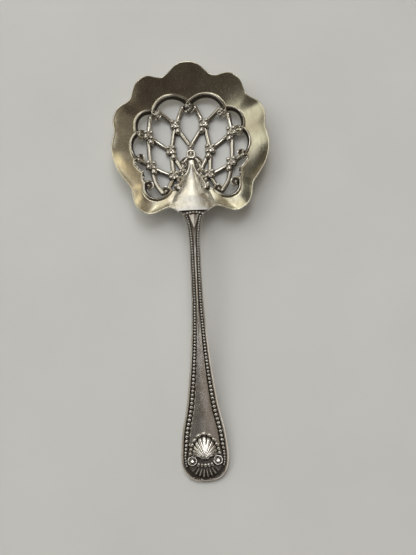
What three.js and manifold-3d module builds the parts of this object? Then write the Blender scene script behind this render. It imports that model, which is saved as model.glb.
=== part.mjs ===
// Bonbon spoon: a fluted, scalloped dish with an openwork panel, and a beaded handle that ends in a shell.
// Millimetres and degrees. +Z is up, +Y runs from the handle's tip to the far lobe of the bowl.
// The spoon lies as on a table: the dish's floor and the handle's tip touch z = 0.
import * as THREE from 'three';
import { mergeVertices } from 'three/addons/utils/BufferGeometryUtils.js';
import Module from 'manifold-3d';

const wasm = await Module();
wasm.setup();

// Whole spoon
const overallLength = 130;
const solderGap = 0.1; // seam between neighbouring pieces

// Bowl
const notchRadius = 24; // circle in plan through the notches of the rim
const lobeAngles = [0, 34.4, 66, 98, 147]; // from the far lobe towards the neck, the same on both sides
const notchAngles = [19.9, 50.8, 81.3, 126.2, 162.5]; // after each lobe
const lobeReaches = [3.0, 2.1, 1.5, 0.7, 3.8]; // how far each lobe stands out past the notches
const lobeBreadth = 2.8; // power of the rim's wave: above 2 the lobes are broader than the notches
const neckReach = 1.0; // how far the rim runs out at the neck
const bowlDepth = 8.5; // height of the rim's underside above the floor
const lobeDip = 0.6; // how much lower the rim is at a lobe than at a notch
const floorRadius = 8.5; // flat floor that the bowl rests on
const fluteStart = 17; // radius where the flutes begin
const wallCurve = 1.9; // power of the wall's rise
const neckCurve = 1.4; // power of the rise towards the neck, which is straighter
const neckBlend = [125, 172]; // angles over which one rise passes into the other
const sheet = 1.0; // wall thickness of the bowl

// Openwork panel: spots are given as an angle from the far lobe and a share of the panel's radius
const plainBorder = 5; // plain sheet between the panel's arches and the notches
const wireWidth = 1.8; // scrolls and arches around the panel
const barWidth = 1.4; // bars between the florets
const wireRise = 0.45; // how far the wires stand above the sheet
const shoulderRise = 0.1; // and their shoulders
const barLift = 0.1; // how far the bars' undersides lie above the sheet's
const padRise = 0.65; // height of the florets' seats above the sheet
const padRadius = 1.1;
const curlRadius = 1.05; // volutes that the arches and scrolls end in
const spots = {
  crest: [0, 0.82], archTop: [16.3, 0.972], archFoot: [42, 0.91],
  smallTop: [55.3, 1.02], smallFoot: [72.5, 0.93],
  sideTop: [89.4, 0.992], sideFoot: [101.3, 0.926],
  scrollOut: [106.7, 0.985], scrollIn: [118.6, 0.937], scrollFoot: [124.9, 1],
  lowerStart: [131.6, 1.053], lowerTop: [143.2, 1.155], lowerFoot: [155.5, 0.92],
  leaf: [161.6, 0.774], tongueMid: [163, 0.548], tongueTip: [151.7, 0.278], crown: [180, 0.096],
  archCurl: [7, 0.795], footCurl: [37.3, 0.895], smallCurl: [47.3, 0.895],
  scrollCurl: [109, 0.955], lowerCurl: [131.6, 0.985], innerCurl: [152, 0.86],
  pendant: [0, 0.756], cluster: [41.4, 0.842], crownBead: [0, 0.064],
  upperFloret: [27.6, 0.524], outerFloret: [69.3, 0.76], middleFloret: [92.2, 0.326],
  lowerFloret: [113.7, 0.745], tongueFloret: [148.8, 0.572], tongueKnot: [157.5, 0.398],
  lowerBarTop: [124.1, 0.769], lowerBarMid: [137.4, 0.864], lowerBarEnd: [151.6, 0.975],
};

// Tongue: the raised middle of the bowl from the neck to the crown
const tongueNeckWidth = 7.0;
const tongueWidth = 9.4; // where it is widest
const tongueWidestAt = 17.5; // distance from the bowl's middle
const tongueTipAt = 5.0; // distance from the bowl's middle
const tongueFoot = 0.35; // height of the tongue's foot in the sheet, in sheets
const tongueEdge = 0.35; // height of its edges above the sheet

// Florets and the other small castings, each built of domes
const petalRadius = 0.75;
const petalHeight = 0.8;
const petalOffset = 1.08;
const petals = 4;
const eyeRadius = 0.6;
const eyeHeight = 0.7;
const dropRadius = 0.7; // bead that hangs below a floret
const dropStretch = 1.6; // its length in widths
const dropOffset = 2.05;
const dropTurn = 18; // its lean towards the spoon's middle
const clusterStretch = 1.3; // length of a cluster's middle bead in widths
const leafRadius = 0.95;
const leafStretch = 1.5; // length of a leaf in widths
const leafBeadOffset = 1.5;
const crownRingRadius = 1.35;
const crownRingBore = 0.55;

// Handle: half widths stand at shares of the handle's length from the tip
const seamStand = 0.1; // how far the seam with the bowl lies outside the circle of the notches
const terminalWidth = 13.4; // widest, near the tip
const terminalRound = 7.6; // length of the rounded end
const stemWidth = 3.0; // slimmest
const neckWidth = 7.6; // at the seam
const widthSteps = [[0.176, 0.87], [0.282, 0.53], [0.458, 0.2], [0.641, 0.02], [0.832, 0]];
const flareSteps = [[0.914, 0.09], [0.976, 0.62]];
const terminalSlope = 9; // tilt of the flat end that carries the shell
const terminalFlat = 16; // length of that flat end
const tipHeight = 1.5; // top of the tip above the table
const crestHeight = 10.6; // highest point of the arch
const crestAt = 66; // distance of the crest from the tip
const seamSlope = 9; // fall of the handle towards the bowl at the seam
const tipThickness = 1.75;
const stemThickness = 2.7;
const dropLength = 6.5; // drop under the bowl that the handle is soldered by
const dropWidth = 5.6;
const dropTipWidth = 2.4;
const dropRoot = 1.2; // how far the drop reaches back into the handle
const dropFullness = 0.9; // its height in stem thicknesses
const dropBlunt = 1.02; // above 1, the drop's tip stays blunt

// Bead borders, in grooves beside a smooth edge
const stemEdge = 0.3; // width of the edge along the stem
const terminalEdge = 0.5; // and around the flat end
const neckBead = 0.66; // bead diameter at the neck
const terminalBead = 1.06; // above the bosses
const endBead = 0.6; // and at the borders' ends
const beadPitch = 1.17; // spacing in bead diameters
const beadWaist = 0.45; // waist between two beads in bead diameters
const grooveDepth = 0.3;
const grooveClearance = 0.14; // beside the beads
const bordersTaperAt = 11; // distance from the tip where the beads begin to shrink
const bordersEndAt = 4.6; // distance of the last bead from the tip
const neckRowAt = 0.8; // distance of the neck row from the seam
const neckRowBow = 0.5; // how far the row bows towards the handle at its ends
const neckRowBead = 0.9;

// Shell, bosses and fan on the flat end
const shellRootAt = 6.3; // distance from the tip
const shellHeight = 7.1;
const shellWidth = 8.9;
const shellStart = 0.7; // distance of the knob's foot from the root
const shellRelief = 1.5;
const shellRibs = 9;
const shellSpan = 74; // half angle
const bossRadius = 1.37;
const bossSpread = 3.66; // from the middle
const bossClearance = 0.23; // between a boss and the shell's edge
const bossHeight = 1.0;
const fanRadius = 5.3;
const fanWidth = 10.6;
const fanRelief = 1.0;
const fanRibs = 9;
const fanSpan = 46;
const ribNotch = 0.06; // how far a flute's end stays back from a rib's, as a share of the reach
const ribSink = 0.4; // how much lower a flute is than a rib at the edge
const rootRowAt = 1.95; // row of beads between shell and fan, from the shell's root
const rootRowWidth = 3.8;
const rootRowBead = 0.8;

// Fineness of the facets
const rimSteps = 72;
const roundStart = 0.15; // first point of the handle's round end, in steps
const beadProfile = [[0, beadWaist], [0.5, 1]]; // stations along a bead, and their sizes
const beadSection = [[-1, 0], [1, 0], [0.6, 0.9], [-0.6, 0.9]]; // in bead radii
const fanProfile = [[0, 0.7], [0.3, 0.95], [0.6, 0.95], [0.9, 0.7], [1, 0.5]]; // way out, height
const wallSteps = [0, 0.4, 0.64, 0.83, 1]; // shares of the way from the floor to the rim
const arcSteps = 6;
const barSteps = 2;
const tongueSteps = 10;
const tongueAcross = [-1, -0.8, -0.4, 0, 0.4, 0.8, 1]; // shares of the half width
const domeSides = 6;
const slopeStep = 0.02; // for measuring the dish's slope
const mergeReach = 1e-5;
const halfTurn = 180; // degrees

// Finishes
const silver = new THREE.MeshStandardMaterial({ color: 0xb8b2a8, roughness: 0.28, metalness: 1 });
const gilt = new THREE.MeshStandardMaterial({ color: 0xc8bd93, roughness: 0.25, metalness: 1 });

const rad = THREE.MathUtils.degToRad;
const smooth = THREE.MathUtils.smoothstep;

// Derived places
const bowlY = overallLength / 2 - notchRadius - lobeReaches[0];
const tipY = -overallLength / 2;
const seamReach = notchRadius + seamStand;
const seamHeight = bowlDepth + sheet;
const seamY = bowlY - seamReach;
const handleLength = seamY - tipY;
const panelRadius = notchRadius - plainBorder;
const bossSink = bossRadius + bossClearance - bossSpread * Math.cos(rad(shellSpan));
const bossBelowRoot = bossSink / Math.sin(rad(shellSpan));
const fanStart = Math.hypot(rootRowWidth / 2, rootRowAt) + rootRowBead / 2 + solderGap;

// Solids for cutting and joining
function solidOf(geometry) {
  const bare = geometry.clone();
  bare.deleteAttribute('normal');
  bare.deleteAttribute('uv');
  const merged = mergeVertices(bare, mergeReach);
  const vertProperties = new Float32Array(merged.attributes.position.array);
  const triVerts = new Uint32Array(merged.index.array);
  return new wasm.Manifold(new wasm.Mesh({ numProp: 3, vertProperties, triVerts }));
}

function geometryOf(solid) {
  const mesh = solid.getMesh();
  const geometry = new THREE.BufferGeometry();
  geometry.setAttribute('position', new THREE.BufferAttribute(new Float32Array(mesh.vertProperties), 3));
  geometry.setIndex(new THREE.BufferAttribute(new Uint32Array(mesh.triVerts), 1));
  geometry.computeVertexNormals();
  return geometry;
}

function joined(geometries) {
  return geometries.map(solidOf).reduce((whole, piece) => whole.add(piece));
}

function geometryFrom(points, triangles) {
  const geometry = new THREE.BufferGeometry().setFromPoints(points);
  geometry.setIndex(triangles);
  return geometry;
}

// Loft through rings of points, closed at both ends; turns itself outward
function loft(rings) {
  const count = rings[0].length;
  const points = rings.flat();
  const triangles = [];
  for (let ring = 0; ring < rings.length - 1; ring += 1) {
    for (let side = 0; side < count; side += 1) {
      const a = ring * count + side;
      const b = ring * count + (side + 1) % count;
      triangles.push(a, b, b + count, a, b + count, a + count);
    }
  }
  for (const [ring, order] of [[0, -1], [rings.length - 1, 1]]) {
    const centre = rings[ring].reduce((sum, p) => sum.add(p), new THREE.Vector3()).divideScalar(count);
    points.push(centre);
    for (let side = 0; side < count; side += 1) {
      const a = ring * count + side;
      const b = ring * count + (side + 1) % count;
      triangles.push(...(order > 0 ? [a, b, points.length - 1] : [b, a, points.length - 1]));
    }
  }
  return outward(geometryFrom(points, triangles));
}

function outward(geometry) {
  const place = geometry.attributes.position;
  const index = geometry.index.array;
  const corner = (k) => new THREE.Vector3().fromBufferAttribute(place, index[k]);
  let volume = 0;
  for (let k = 0; k < index.length; k += 3) {
    volume += corner(k).dot(corner(k + 1).cross(corner(k + 2)));
  }
  if (volume < 0) {
    for (let k = 0; k < index.length; k += 3) {
      [index[k], index[k + 1]] = [index[k + 1], index[k]];
    }
  }
  return geometry;
}

// The dish: a plan outline of lobes, and the height of its underside at any point of the plan
function lobeWave(angle) {
  const turn = Math.abs(angle);
  const ends = [...lobeAngles, halfTurn];
  const reaches = [...lobeReaches, neckReach];
  const next = Math.min(ends.findIndex((end) => end >= turn - mergeReach), ends.length - 1);
  if (next <= 0) return { reach: reaches[0], wave: 1 };
  const notch = notchAngles[next - 1];
  const share = turn < notch
    ? (turn - ends[next - 1]) / (notch - ends[next - 1]) / 2
    : 1 - (ends[next] - turn) / (ends[next] - notch) / 2;
  const wave = 1 - Math.sin(Math.PI * share) ** lobeBreadth;
  const isNeck = share > 0.5 && next === ends.length - 1;
  return { reach: (share < 0.5 ? reaches[next - 1] : reaches[next]) * wave, wave: isNeck ? 0 : wave };
}

function underside(x, y) {
  const radius = Math.hypot(x, y - bowlY);
  if (radius <= floorRadius) return 0;
  const angle = THREE.MathUtils.radToDeg(Math.atan2(x, y - bowlY));
  const { reach, wave } = lobeWave(angle);
  const fluted = smooth(radius, fluteStart, notchRadius);
  const rise = (radius - floorRadius) / (notchRadius + reach * fluted - floorRadius);
  const power = wallCurve + (neckCurve - wallCurve) * smooth(Math.abs(angle), ...neckBlend);
  return bowlDepth * rise ** power - lobeDip * wave * fluted;
}

function dishNormal(x, y) {
  const slopeX = (underside(x + slopeStep, y) - underside(x - slopeStep, y)) / (2 * slopeStep);
  const slopeY = (underside(x, y + slopeStep) - underside(x, y - slopeStep)) / (2 * slopeStep);
  return new THREE.Vector3(-slopeX, -slopeY, 1).normalize();
}

// Height of the sheet's upper face over a point of the plan
function upperSide(x, y) {
  return underside(x, y) + sheet / dishNormal(x, y).z;
}

// Point of the plan at an angle from the far lobe and a distance from the bowl's middle
function polar(angle, radius) {
  return new THREE.Vector2(radius * Math.sin(rad(angle)), bowlY + radius * Math.cos(rad(angle)));
}

function spot(name, side) {
  const [angle, share] = spots[name];
  return polar(side * angle, share * panelRadius);
}

function dishGeometry() {
  const under = [new THREE.Vector3(0, bowlY, 0)];
  const upper = [new THREE.Vector3(0, bowlY, sheet)];
  for (const share of wallSteps) {
    for (let step = 0; step < rimSteps; step += 1) {
      const angle = 2 * halfTurn * step / rimSteps - halfTurn;
      const rim = notchRadius + lobeWave(angle).reach;
      const p = polar(angle, floorRadius + share * (rim - floorRadius));
      const low = new THREE.Vector3(p.x, p.y, underside(p.x, p.y));
      under.push(low);
      upper.push(low.clone().addScaledVector(dishNormal(p.x, p.y), sheet));
    }
  }
  const shift = under.length;
  const triangles = [];
  const face = (a, b, c) => triangles.push(a, c, b, a + shift, b + shift, c + shift);
  for (let step = 0; step < rimSteps; step += 1) {
    const next = (step + 1) % rimSteps;
    face(0, 1 + next, 1 + step);
    for (let ring = 0; ring < wallSteps.length - 1; ring += 1) {
      const a = 1 + ring * rimSteps + step;
      const b = 1 + ring * rimSteps + next;
      face(a, b, b + rimSteps);
      face(a, b + rimSteps, a + rimSteps);
    }
    const last = shift - rimSteps;
    const [p, q] = [last + step, last + next];
    triangles.push(q, p, p + shift, q, p + shift, q + shift);
  }
  return geometryFrom([...under, ...upper], triangles);
}

// Paths in plan
function arcThrough(a, b, c, steps = arcSteps) {
  const [ax, ay, bx, by, cx, cy] = [a.x, a.y, b.x, b.y, c.x, c.y];
  const d = 2 * (ax * (by - cy) + bx * (cy - ay) + cx * (ay - by));
  const [sa, sb, sc] = [a.lengthSq(), b.lengthSq(), c.lengthSq()];
  const middle = new THREE.Vector2(
    (sa * (by - cy) + sb * (cy - ay) + sc * (ay - by)) / d,
    (sa * (cx - bx) + sb * (ax - cx) + sc * (bx - ax)) / d,
  );
  const start = a.clone().sub(middle).angle();
  const clockwise = (b.x - ax) * (cy - ay) - (b.y - ay) * (cx - ax) < 0;
  const end = c.clone().sub(middle).angle();
  const curve = new THREE.EllipseCurve(
    middle.x, middle.y, a.distanceTo(middle), a.distanceTo(middle), start, end, clockwise,
  );
  return curve.getPoints(steps);
}

function smoothThrough(points, steps) {
  return new THREE.SplineCurve(points).getPoints(steps);
}

// Wire of a given section along a path in plan, following the dish; section rows are [sideways, height]
function wire(path, section) {
  const rings = path.map((p, k) => {
    const before = path[Math.max(k - 1, 0)];
    const after = path[Math.min(k + 1, path.length - 1)];
    const along = after.clone().sub(before).normalize();
    return section.map(([sideways, height]) => {
      const x = p.x + along.y * sideways;
      const y = p.y - along.x * sideways;
      return new THREE.Vector3(x, y, height(x, y));
    });
  });
  return loft(rings);
}

function roundTopped(width, lift) {
  const half = width / 2;
  const low = (x, y) => underside(x, y) + lift;
  const shoulder = (x, y) => upperSide(x, y) + shoulderRise;
  const top = (x, y) => upperSide(x, y) + wireRise;
  return [[-half, low], [half, low], [half, shoulder], [0, top], [-half, shoulder]];
}

// The two ends of a path drawn out, so that wires overlap where they meet
function drawnOut(path, by) {
  const first = path[0].clone().add(path[0].clone().sub(path[1]).setLength(by));
  const end = path.length - 1;
  const last = path[end].clone().add(path[end].clone().sub(path[end - 1]).setLength(by));
  return [first, ...path.slice(1, end), last];
}

// Edge of the tongue: from the lower scroll's inner end to the crown
function tongueEdgePath(side, steps) {
  const names = ['lowerFoot', 'leaf', 'tongueMid', 'tongueTip'];
  return smoothThrough([...names.map((name) => spot(name, side)), spot('crown', 1)], steps);
}

function framePaths(side) {
  const at = (name) => spot(name, side);
  const scroll = ['sideFoot', 'scrollOut', 'scrollIn', 'scrollFoot', 'lowerStart'].map(at);
  return [
    arcThrough(at('crest'), at('archTop'), at('archFoot')),
    arcThrough(at('archFoot'), at('smallTop'), at('smallFoot')),
    arcThrough(at('smallFoot'), at('sideTop'), at('sideFoot')),
    smoothThrough(scroll, arcSteps),
    arcThrough(at('lowerStart'), at('lowerTop'), at('lowerFoot')),
    tongueEdgePath(side, arcSteps),
  ];
}

const bars = [
  ['archCurl', 'upperFloret'], ['footCurl', 'upperFloret'], ['smallCurl', 'outerFloret'],
  ['upperFloret', 'middleFloret'], ['upperFloret', 'crownBead'], ['outerFloret', 'middleFloret'],
  ['outerFloret', 'lowerFloret'], ['middleFloret', 'tongueFloret'], ['middleFloret', 'tongueKnot'],
  ['lowerFloret', 'tongueFloret'], ['outerFloret', 'smallFoot'], ['lowerFloret', 'sideFoot'],
  ['tongueFloret', 'tongueMid'], ['tongueFloret', 'innerCurl'],
];
const lowerBar = ['lowerFloret', 'lowerBarTop', 'lowerBarMid', 'lowerBarEnd'];

function barPaths(side) {
  const at = (name) => spot(name, side);
  const straight = bars.map(([from, to]) => new THREE.LineCurve(at(from), at(to)).getPoints(barSteps));
  return [...straight, smoothThrough(lowerBar.map(at), arcSteps)];
}

// Place on the sheet's upper face, turned to stand on it
function seat(point, rise) {
  const normal = dishNormal(point.x, point.y);
  const place = new THREE.Vector3(point.x, point.y, underside(point.x, point.y));
  place.addScaledVector(normal, sheet + rise);
  const turn = new THREE.Quaternion().setFromUnitVectors(new THREE.Vector3(0, 0, 1), normal);
  return { place, turn };
}

const florets = ['upper', 'outer', 'middle', 'lower', 'tongue'];
const padNames = [...florets.map((name) => `${name}Floret`), 'cluster', 'leaf'];
const curlNames = ['archCurl', 'footCurl', 'smallCurl', 'scrollCurl', 'lowerCurl', 'innerCurl'];
const middlePads = ['pendant', 'crown', 'crownBead'];

// Round seat that takes up the ends of the bars, from below them up to a height above the sheet
function pad(point, radius, rise) {
  const height = sheet + rise - barLift / 2;
  const geometry = new THREE.CylinderGeometry(radius, radius, height, domeSides);
  geometry.rotateX(Math.PI / 2);
  const { place, turn } = seat(point, rise - height / 2);
  return geometry.applyQuaternion(turn).translate(place.x, place.y, place.z);
}

function openworkGeometry() {
  const pieces = middlePads.map((name) => pad(spot(name, 1), padRadius, padRise));
  pieces.push(wire([spot('crownBead', 1), spot('crown', 1)], roundTopped(wireWidth, barLift)));
  for (const side of [1, -1]) {
    for (const path of framePaths(side)) {
      pieces.push(wire(drawnOut(path, wireWidth / 4), roundTopped(wireWidth, 0)));
    }
    for (const path of barPaths(side)) pieces.push(wire(path, roundTopped(barWidth, barLift)));
    for (const name of padNames) pieces.push(pad(spot(name, side), padRadius, padRise));
    for (const name of curlNames) pieces.push(pad(spot(name, side), curlRadius, wireRise));
  }
  return geometryOf(joined(pieces));
}

// Window for the panel: the area inside its frame, and the frame's own wires with the seam around them
function windowSolid() {
  const right = framePaths(1).flat();
  const left = framePaths(-1).flat().reverse();
  const shape = new THREE.Shape([...right, ...left]);
  const height = 3 * bowlDepth;
  const prism = new THREE.ExtrudeGeometry(shape, { depth: height, bevelEnabled: false });
  const half = wireWidth / 2 + solderGap;
  const low = () => -bowlDepth;
  const high = () => 2 * bowlDepth;
  const section = [[-half, low], [half, low], [half, high], [-half, high]];
  const cutters = [prism.translate(0, 0, -bowlDepth)];
  const seats = [spot('crown', 1), spot('pendant', 1)];
  for (const side of [1, -1]) {
    for (const path of framePaths(side)) {
      cutters.push(wire(drawnOut(path, wireWidth / 4 + solderGap), section));
    }
    seats.push(spot('cluster', side), spot('leaf', side));
  }
  const reach = padRadius + padRise + solderGap;
  for (const point of seats) {
    const hole = new THREE.CylinderGeometry(reach, reach, height, 2 * domeSides).rotateX(Math.PI / 2);
    cutters.push(hole.translate(point.x, point.y, 0));
  }
  return joined(cutters);
}

// Half width of the tongue at a distance from the bowl's middle, towards the neck
function tongueHalf(distance) {
  const inside = tongueEdgePath(1, 4 * arcSteps).filter((p) => bowlY - p.y <= distance);
  const beside = inside.length ? inside[0].x : 0;
  const free = beside - wireWidth / 2 - 2 * solderGap;
  const seamShare = smooth(distance, tongueWidestAt, seamReach);
  const plain = (tongueWidth + (tongueNeckWidth - tongueWidth) * seamShare) / 2;
  const pastPanel = distance > tongueWidestAt - wireWidth;
  return Math.min(plain, pastPanel ? Math.max(free, plain * seamShare) : free);
}

function hermite(share, from, fromSlope, to, toSlope) {
  const rest = 1 - share;
  return (1 + 2 * share) * rest * rest * from + share * rest * rest * fromSlope
    + share * share * (3 - 2 * share) * to - share * share * rest * toSlope;
}

function tongueGeometry() {
  const rings = [];
  const steps = tongueSteps;
  const span = seamReach - tongueTipAt;
  for (let step = 0; step <= steps; step += 1) {
    const distance = tongueTipAt + span * step / steps;
    const y = bowlY - distance;
    const half = Math.max(tongueHalf(distance), wireWidth / 4);
    const ridge = hermite(step / steps, sheet + tongueEdge, 0, seamHeight, span * Math.tan(rad(seamSlope)));
    const ring = [];
    for (const across of tongueAcross) {
      const x = half * across;
      const edge = upperSide(x, y) + tongueEdge * (1 - across ** 2);
      const crown = Math.max(ridge - upperSide(0, y), 0) * Math.sqrt(1 - across ** 2);
      ring.push(new THREE.Vector3(x, y, edge + crown));
    }
    for (const across of [1, 0, -1]) {
      const x = half * across;
      ring.push(new THREE.Vector3(x, y, underside(x, y) + sheet * tongueFoot));
    }
    rings.push(ring);
  }
  return loft(rings);
}

function boxSolid(low, high) {
  const size = high.clone().sub(low);
  const middle = low.clone().add(high).multiplyScalar(0.5);
  return solidOf(new THREE.BoxGeometry(size.x, size.y, size.z).translate(middle.x, middle.y, middle.z));
}

function bowlGeometry() {
  const wholeDish = solidOf(dishGeometry()).add(solidOf(tongueGeometry()));
  const behindSeam = boxSolid(
    new THREE.Vector3(-overallLength, -overallLength, -overallLength),
    new THREE.Vector3(overallLength, seamY, overallLength),
  );
  return geometryOf(wholeDish.subtract(windowSolid()).subtract(behindSeam));
}

// Handle
function handleOutline() {
  const round = [];
  for (let step = 0; step < arcSteps; step += 1) {
    const turn = (step + roundStart) / arcSteps * Math.PI / 2;
    round.push(new THREE.Vector2(terminalWidth / 2 * Math.sin(turn), terminalRound * (1 - Math.cos(turn))));
  }
  const stem = stemWidth / 2;
  const grown = widthSteps.map(([at, share]) => [at, stem + (terminalWidth / 2 - stem) * share]);
  const flared = flareSteps.map(([at, share]) => [at, stem + (neckWidth / 2 - stem) * share]);
  const stations = [...grown, ...flared].map(([at, half]) => new THREE.Vector2(half, at * handleLength));
  const first = new THREE.Vector2(terminalWidth / 2, terminalRound);
  const last = new THREE.Vector2(neckWidth / 2, handleLength - solderGap);
  return [...round, ...new THREE.SplineCurve([first, ...stations, last]).getPoints(3 * arcSteps)];
}

// Top of the handle at a distance from the tip: a flat end, then a low arch
function handleTop(distance) {
  const slope = Math.tan(rad(terminalSlope));
  const flatEnd = tipHeight + terminalFlat * slope;
  if (distance <= terminalFlat) return tipHeight + distance * slope;
  if (distance <= crestAt) {
    const span = crestAt - terminalFlat;
    return hermite((distance - terminalFlat) / span, flatEnd, slope * span, crestHeight, 0);
  }
  const span = handleLength - crestAt;
  return hermite((distance - crestAt) / span, crestHeight, 0, seamHeight, -span * Math.tan(rad(seamSlope)));
}

function handleThickness(distance) {
  return tipThickness + (stemThickness - tipThickness) * smooth(distance, terminalRound, crestAt);
}

const handleSection = [
  [-1, 0], [0, 0], [1, 0], [1, -0.45], [0.8, -0.85], [0.4, -1], [-0.4, -1], [-0.8, -0.85], [-1, -0.45],
];

function handleBody() {
  return loft(handleOutline().map(({ x: half, y: distance }) => handleSection.map(([across, down]) => (
    new THREE.Vector3(half * across, tipY + distance, handleTop(distance) + handleThickness(distance) * down)
  ))));
}

// Drop under the bowl: from the handle's end down to the dish's underside
function handleDrop() {
  const rings = [];
  for (let step = 0; step <= arcSteps; step += 1) {
    const share = step / arcSteps;
    const y = seamY - dropRoot + (dropLength + dropRoot) * share;
    const half = (dropWidth + (dropTipWidth - dropWidth) * share) / 2 * Math.sqrt(dropBlunt - share ** 4);
    const start = handleTop(handleLength - solderGap) - handleThickness(handleLength);
    const low = start + (underside(0, seamY + dropLength) - start) * share;
    rings.push(handleSection.map(([across, down]) => (
      new THREE.Vector3(half * across, y, low + stemThickness * (1 + down) * dropFullness)
    )));
  }
  return loft(rings);
}

// Everything above the dish's underside, less the seam, on the bowl's side of the joint
function aboveDish() {
  const columns = 2 * arcSteps;
  const rows = 2 * arcSteps;
  const reach = neckWidth;
  const length = 2 * dropLength;
  const points = [];
  const triangles = [];
  for (const level of [0, 1]) {
    for (let row = 0; row <= rows; row += 1) {
      for (let column = 0; column <= columns; column += 1) {
        const x = reach * (2 * column / columns - 1);
        const y = seamY - solderGap + length * row / rows;
        const floor = underside(x, y) - solderGap / dishNormal(x, y).z;
        points.push(new THREE.Vector3(x, y, level ? 3 * crestHeight : floor));
      }
    }
  }
  const wide = columns + 1;
  const shift = points.length / 2;
  for (let row = 0; row < rows; row += 1) {
    for (let column = 0; column < columns; column += 1) {
      const a = row * wide + column;
      triangles.push(a, a + wide, a + 1, a + 1, a + wide, a + wide + 1);
      const b = a + shift;
      triangles.push(b, b + 1, b + wide, b + 1, b + wide + 1, b + wide);
    }
  }
  const edge = [];
  for (let column = 0; column < columns; column += 1) edge.push(column);
  for (let row = 0; row < rows; row += 1) edge.push(row * wide + columns);
  for (let column = columns; column > 0; column -= 1) edge.push(rows * wide + column);
  for (let row = rows; row > 0; row -= 1) edge.push(row * wide);
  edge.forEach((a, k) => {
    const b = edge[(k + 1) % edge.length];
    triangles.push(a, b, b + shift, a, b + shift, a + shift);
  });
  return outward(geometryFrom(points, triangles));
}

// Bead size and edge width at a distance from the tip
function beadSize(distance) {
  const grown = terminalBead + (neckBead - terminalBead) * smooth(distance, terminalFlat, crestAt);
  return grown + (endBead - terminalBead) * (1 - smooth(distance, bordersEndAt, bordersTaperAt));
}

function edgeWidth(distance) {
  return terminalEdge + (stemEdge - terminalEdge) * smooth(distance, bordersTaperAt, crestAt);
}

// Middle of a bead border, from the flat end to the neck
function borderPath(side) {
  const path = [];
  for (const { x: half, y: distance } of handleOutline()) {
    const inset = edgeWidth(distance) + beadSize(distance) / 2 + grooveClearance;
    if (distance > bordersEndAt) path.push(new THREE.Vector2(side * (half - inset), distance));
  }
  return path;
}

function grooveGeometry(side) {
  const path = borderPath(side);
  const rings = path.map((p, k) => {
    const past = (k === 0 ? -endBead : 0) + (k === path.length - 1 ? neckBead : 0);
    const half = beadSize(p.y) / 2 + grooveClearance;
    const floor = handleTop(p.y) - grooveDepth;
    return [[-half, floor], [half, floor], [half, floor + bowlDepth], [-half, floor + bowlDepth]].map(
      ([across, z]) => new THREE.Vector3(p.x + across, tipY + p.y + past, z),
    );
  });
  return loft(rings);
}

function handleGeometry() {
  const underTable = boxSolid(
    new THREE.Vector3(-overallLength, -overallLength, -overallLength),
    new THREE.Vector3(overallLength, overallLength, 0),
  );
  let solid = joined([handleBody(), handleDrop()]).subtract(solidOf(aboveDish())).subtract(underTable);
  for (const side of [1, -1]) solid = solid.subtract(solidOf(grooveGeometry(side)));
  return geometryOf(solid);
}

// Row of half-round beads along a path in space, lying on its flat side, as large as sizeAt(share) says
function beadRow(path, sizeAt) {
  const curve = new THREE.CatmullRomCurve3(path);
  const length = curve.getLength();
  const ends = [0];
  for (let at = 0; at < length; ends.push(at)) at += sizeAt(Math.min(at / length, 1)) * beadPitch;
  const whole = ends[ends.length - 1];
  const stations = ends.slice(1).flatMap((end, bead) => (
    beadProfile.map(([along, size]) => [(ends[bead] + (end - ends[bead]) * along) / whole, size])
  ));
  stations.push([1, beadWaist]);
  return loft(stations.map(([share, size]) => {
    const p = curve.getPointAt(share);
    const along = curve.getTangentAt(share);
    const across = new THREE.Vector3(along.y, -along.x, 0).normalize();
    const up = new THREE.Vector3().crossVectors(across, along);
    const radius = sizeAt(share) / 2 * size;
    return beadSection.map(([side, rise]) => (
      p.clone().addScaledVector(across, side * radius).addScaledVector(up, rise * radius)
    ));
  }));
}

function borderGeometry(side) {
  const flat = borderPath(side);
  const path = flat.map((p) => (
    new THREE.Vector3(p.x, tipY + p.y, handleTop(p.y) - grooveDepth + solderGap)
  ));
  const [start, end] = [flat[0].y, flat[flat.length - 1].y];
  return beadRow(path, (share) => beadSize(start + (end - start) * share));
}

// Row across the neck, between the inner sides of the two borders
function neckRowGeometry() {
  const inset = stemEdge + neckBead + 2 * grooveClearance + neckRowBead / 2 + neckRowBow;
  const half = neckWidth / 2 - inset;
  const path = [-1, 0, 1].map((across) => {
    const distance = handleLength - neckRowAt - neckRowBow * across ** 2;
    return new THREE.Vector3(half * across, tipY + distance, handleTop(distance) + solderGap);
  });
  return beadRow(path, () => neckRowBead);
}

// Domes and the castings made of them
const domeProfile = [[0, 0], [1, 0], [0.85, 0.65], [0, 1]];

function dome(radius, height) {
  const outline = domeProfile.map(([across, up]) => new THREE.Vector2(radius * across, height * up));
  return new THREE.LatheGeometry(outline, domeSides).rotateX(Math.PI / 2);
}

// Four petals around an eye, and where asked for a drop that leans towards the spoon's middle
function floretGeometry(side, hasDrop) {
  const pieces = [dome(eyeRadius, eyeHeight)];
  for (let petal = 0; petal < petals; petal += 1) {
    const turn = 2 * Math.PI * (petal + 0.5) / petals;
    const piece = dome(petalRadius, petalHeight);
    pieces.push(piece.translate(petalOffset * Math.cos(turn), petalOffset * Math.sin(turn), 0));
  }
  if (hasDrop) {
    const drop = dome(dropRadius, eyeHeight).scale(1, dropStretch, 1);
    pieces.push(drop.translate(0, -dropOffset, 0).rotateZ(-side * rad(dropTurn)));
  }
  return geometryOf(joined(pieces));
}

function clusterGeometry() {
  const pieces = [dome(petalRadius, petalHeight).scale(1, clusterStretch, 1)];
  for (const side of [1, -1]) {
    pieces.push(dome(petalRadius, petalHeight).translate(side * petalOffset, petalOffset / 2, 0));
  }
  return geometryOf(joined(pieces));
}

function leafGeometry() {
  const blade = dome(leafRadius, petalHeight).scale(1, leafStretch, 1);
  return geometryOf(joined([blade, dome(eyeRadius, eyeHeight).translate(0, leafBeadOffset, 0)]));
}

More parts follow.
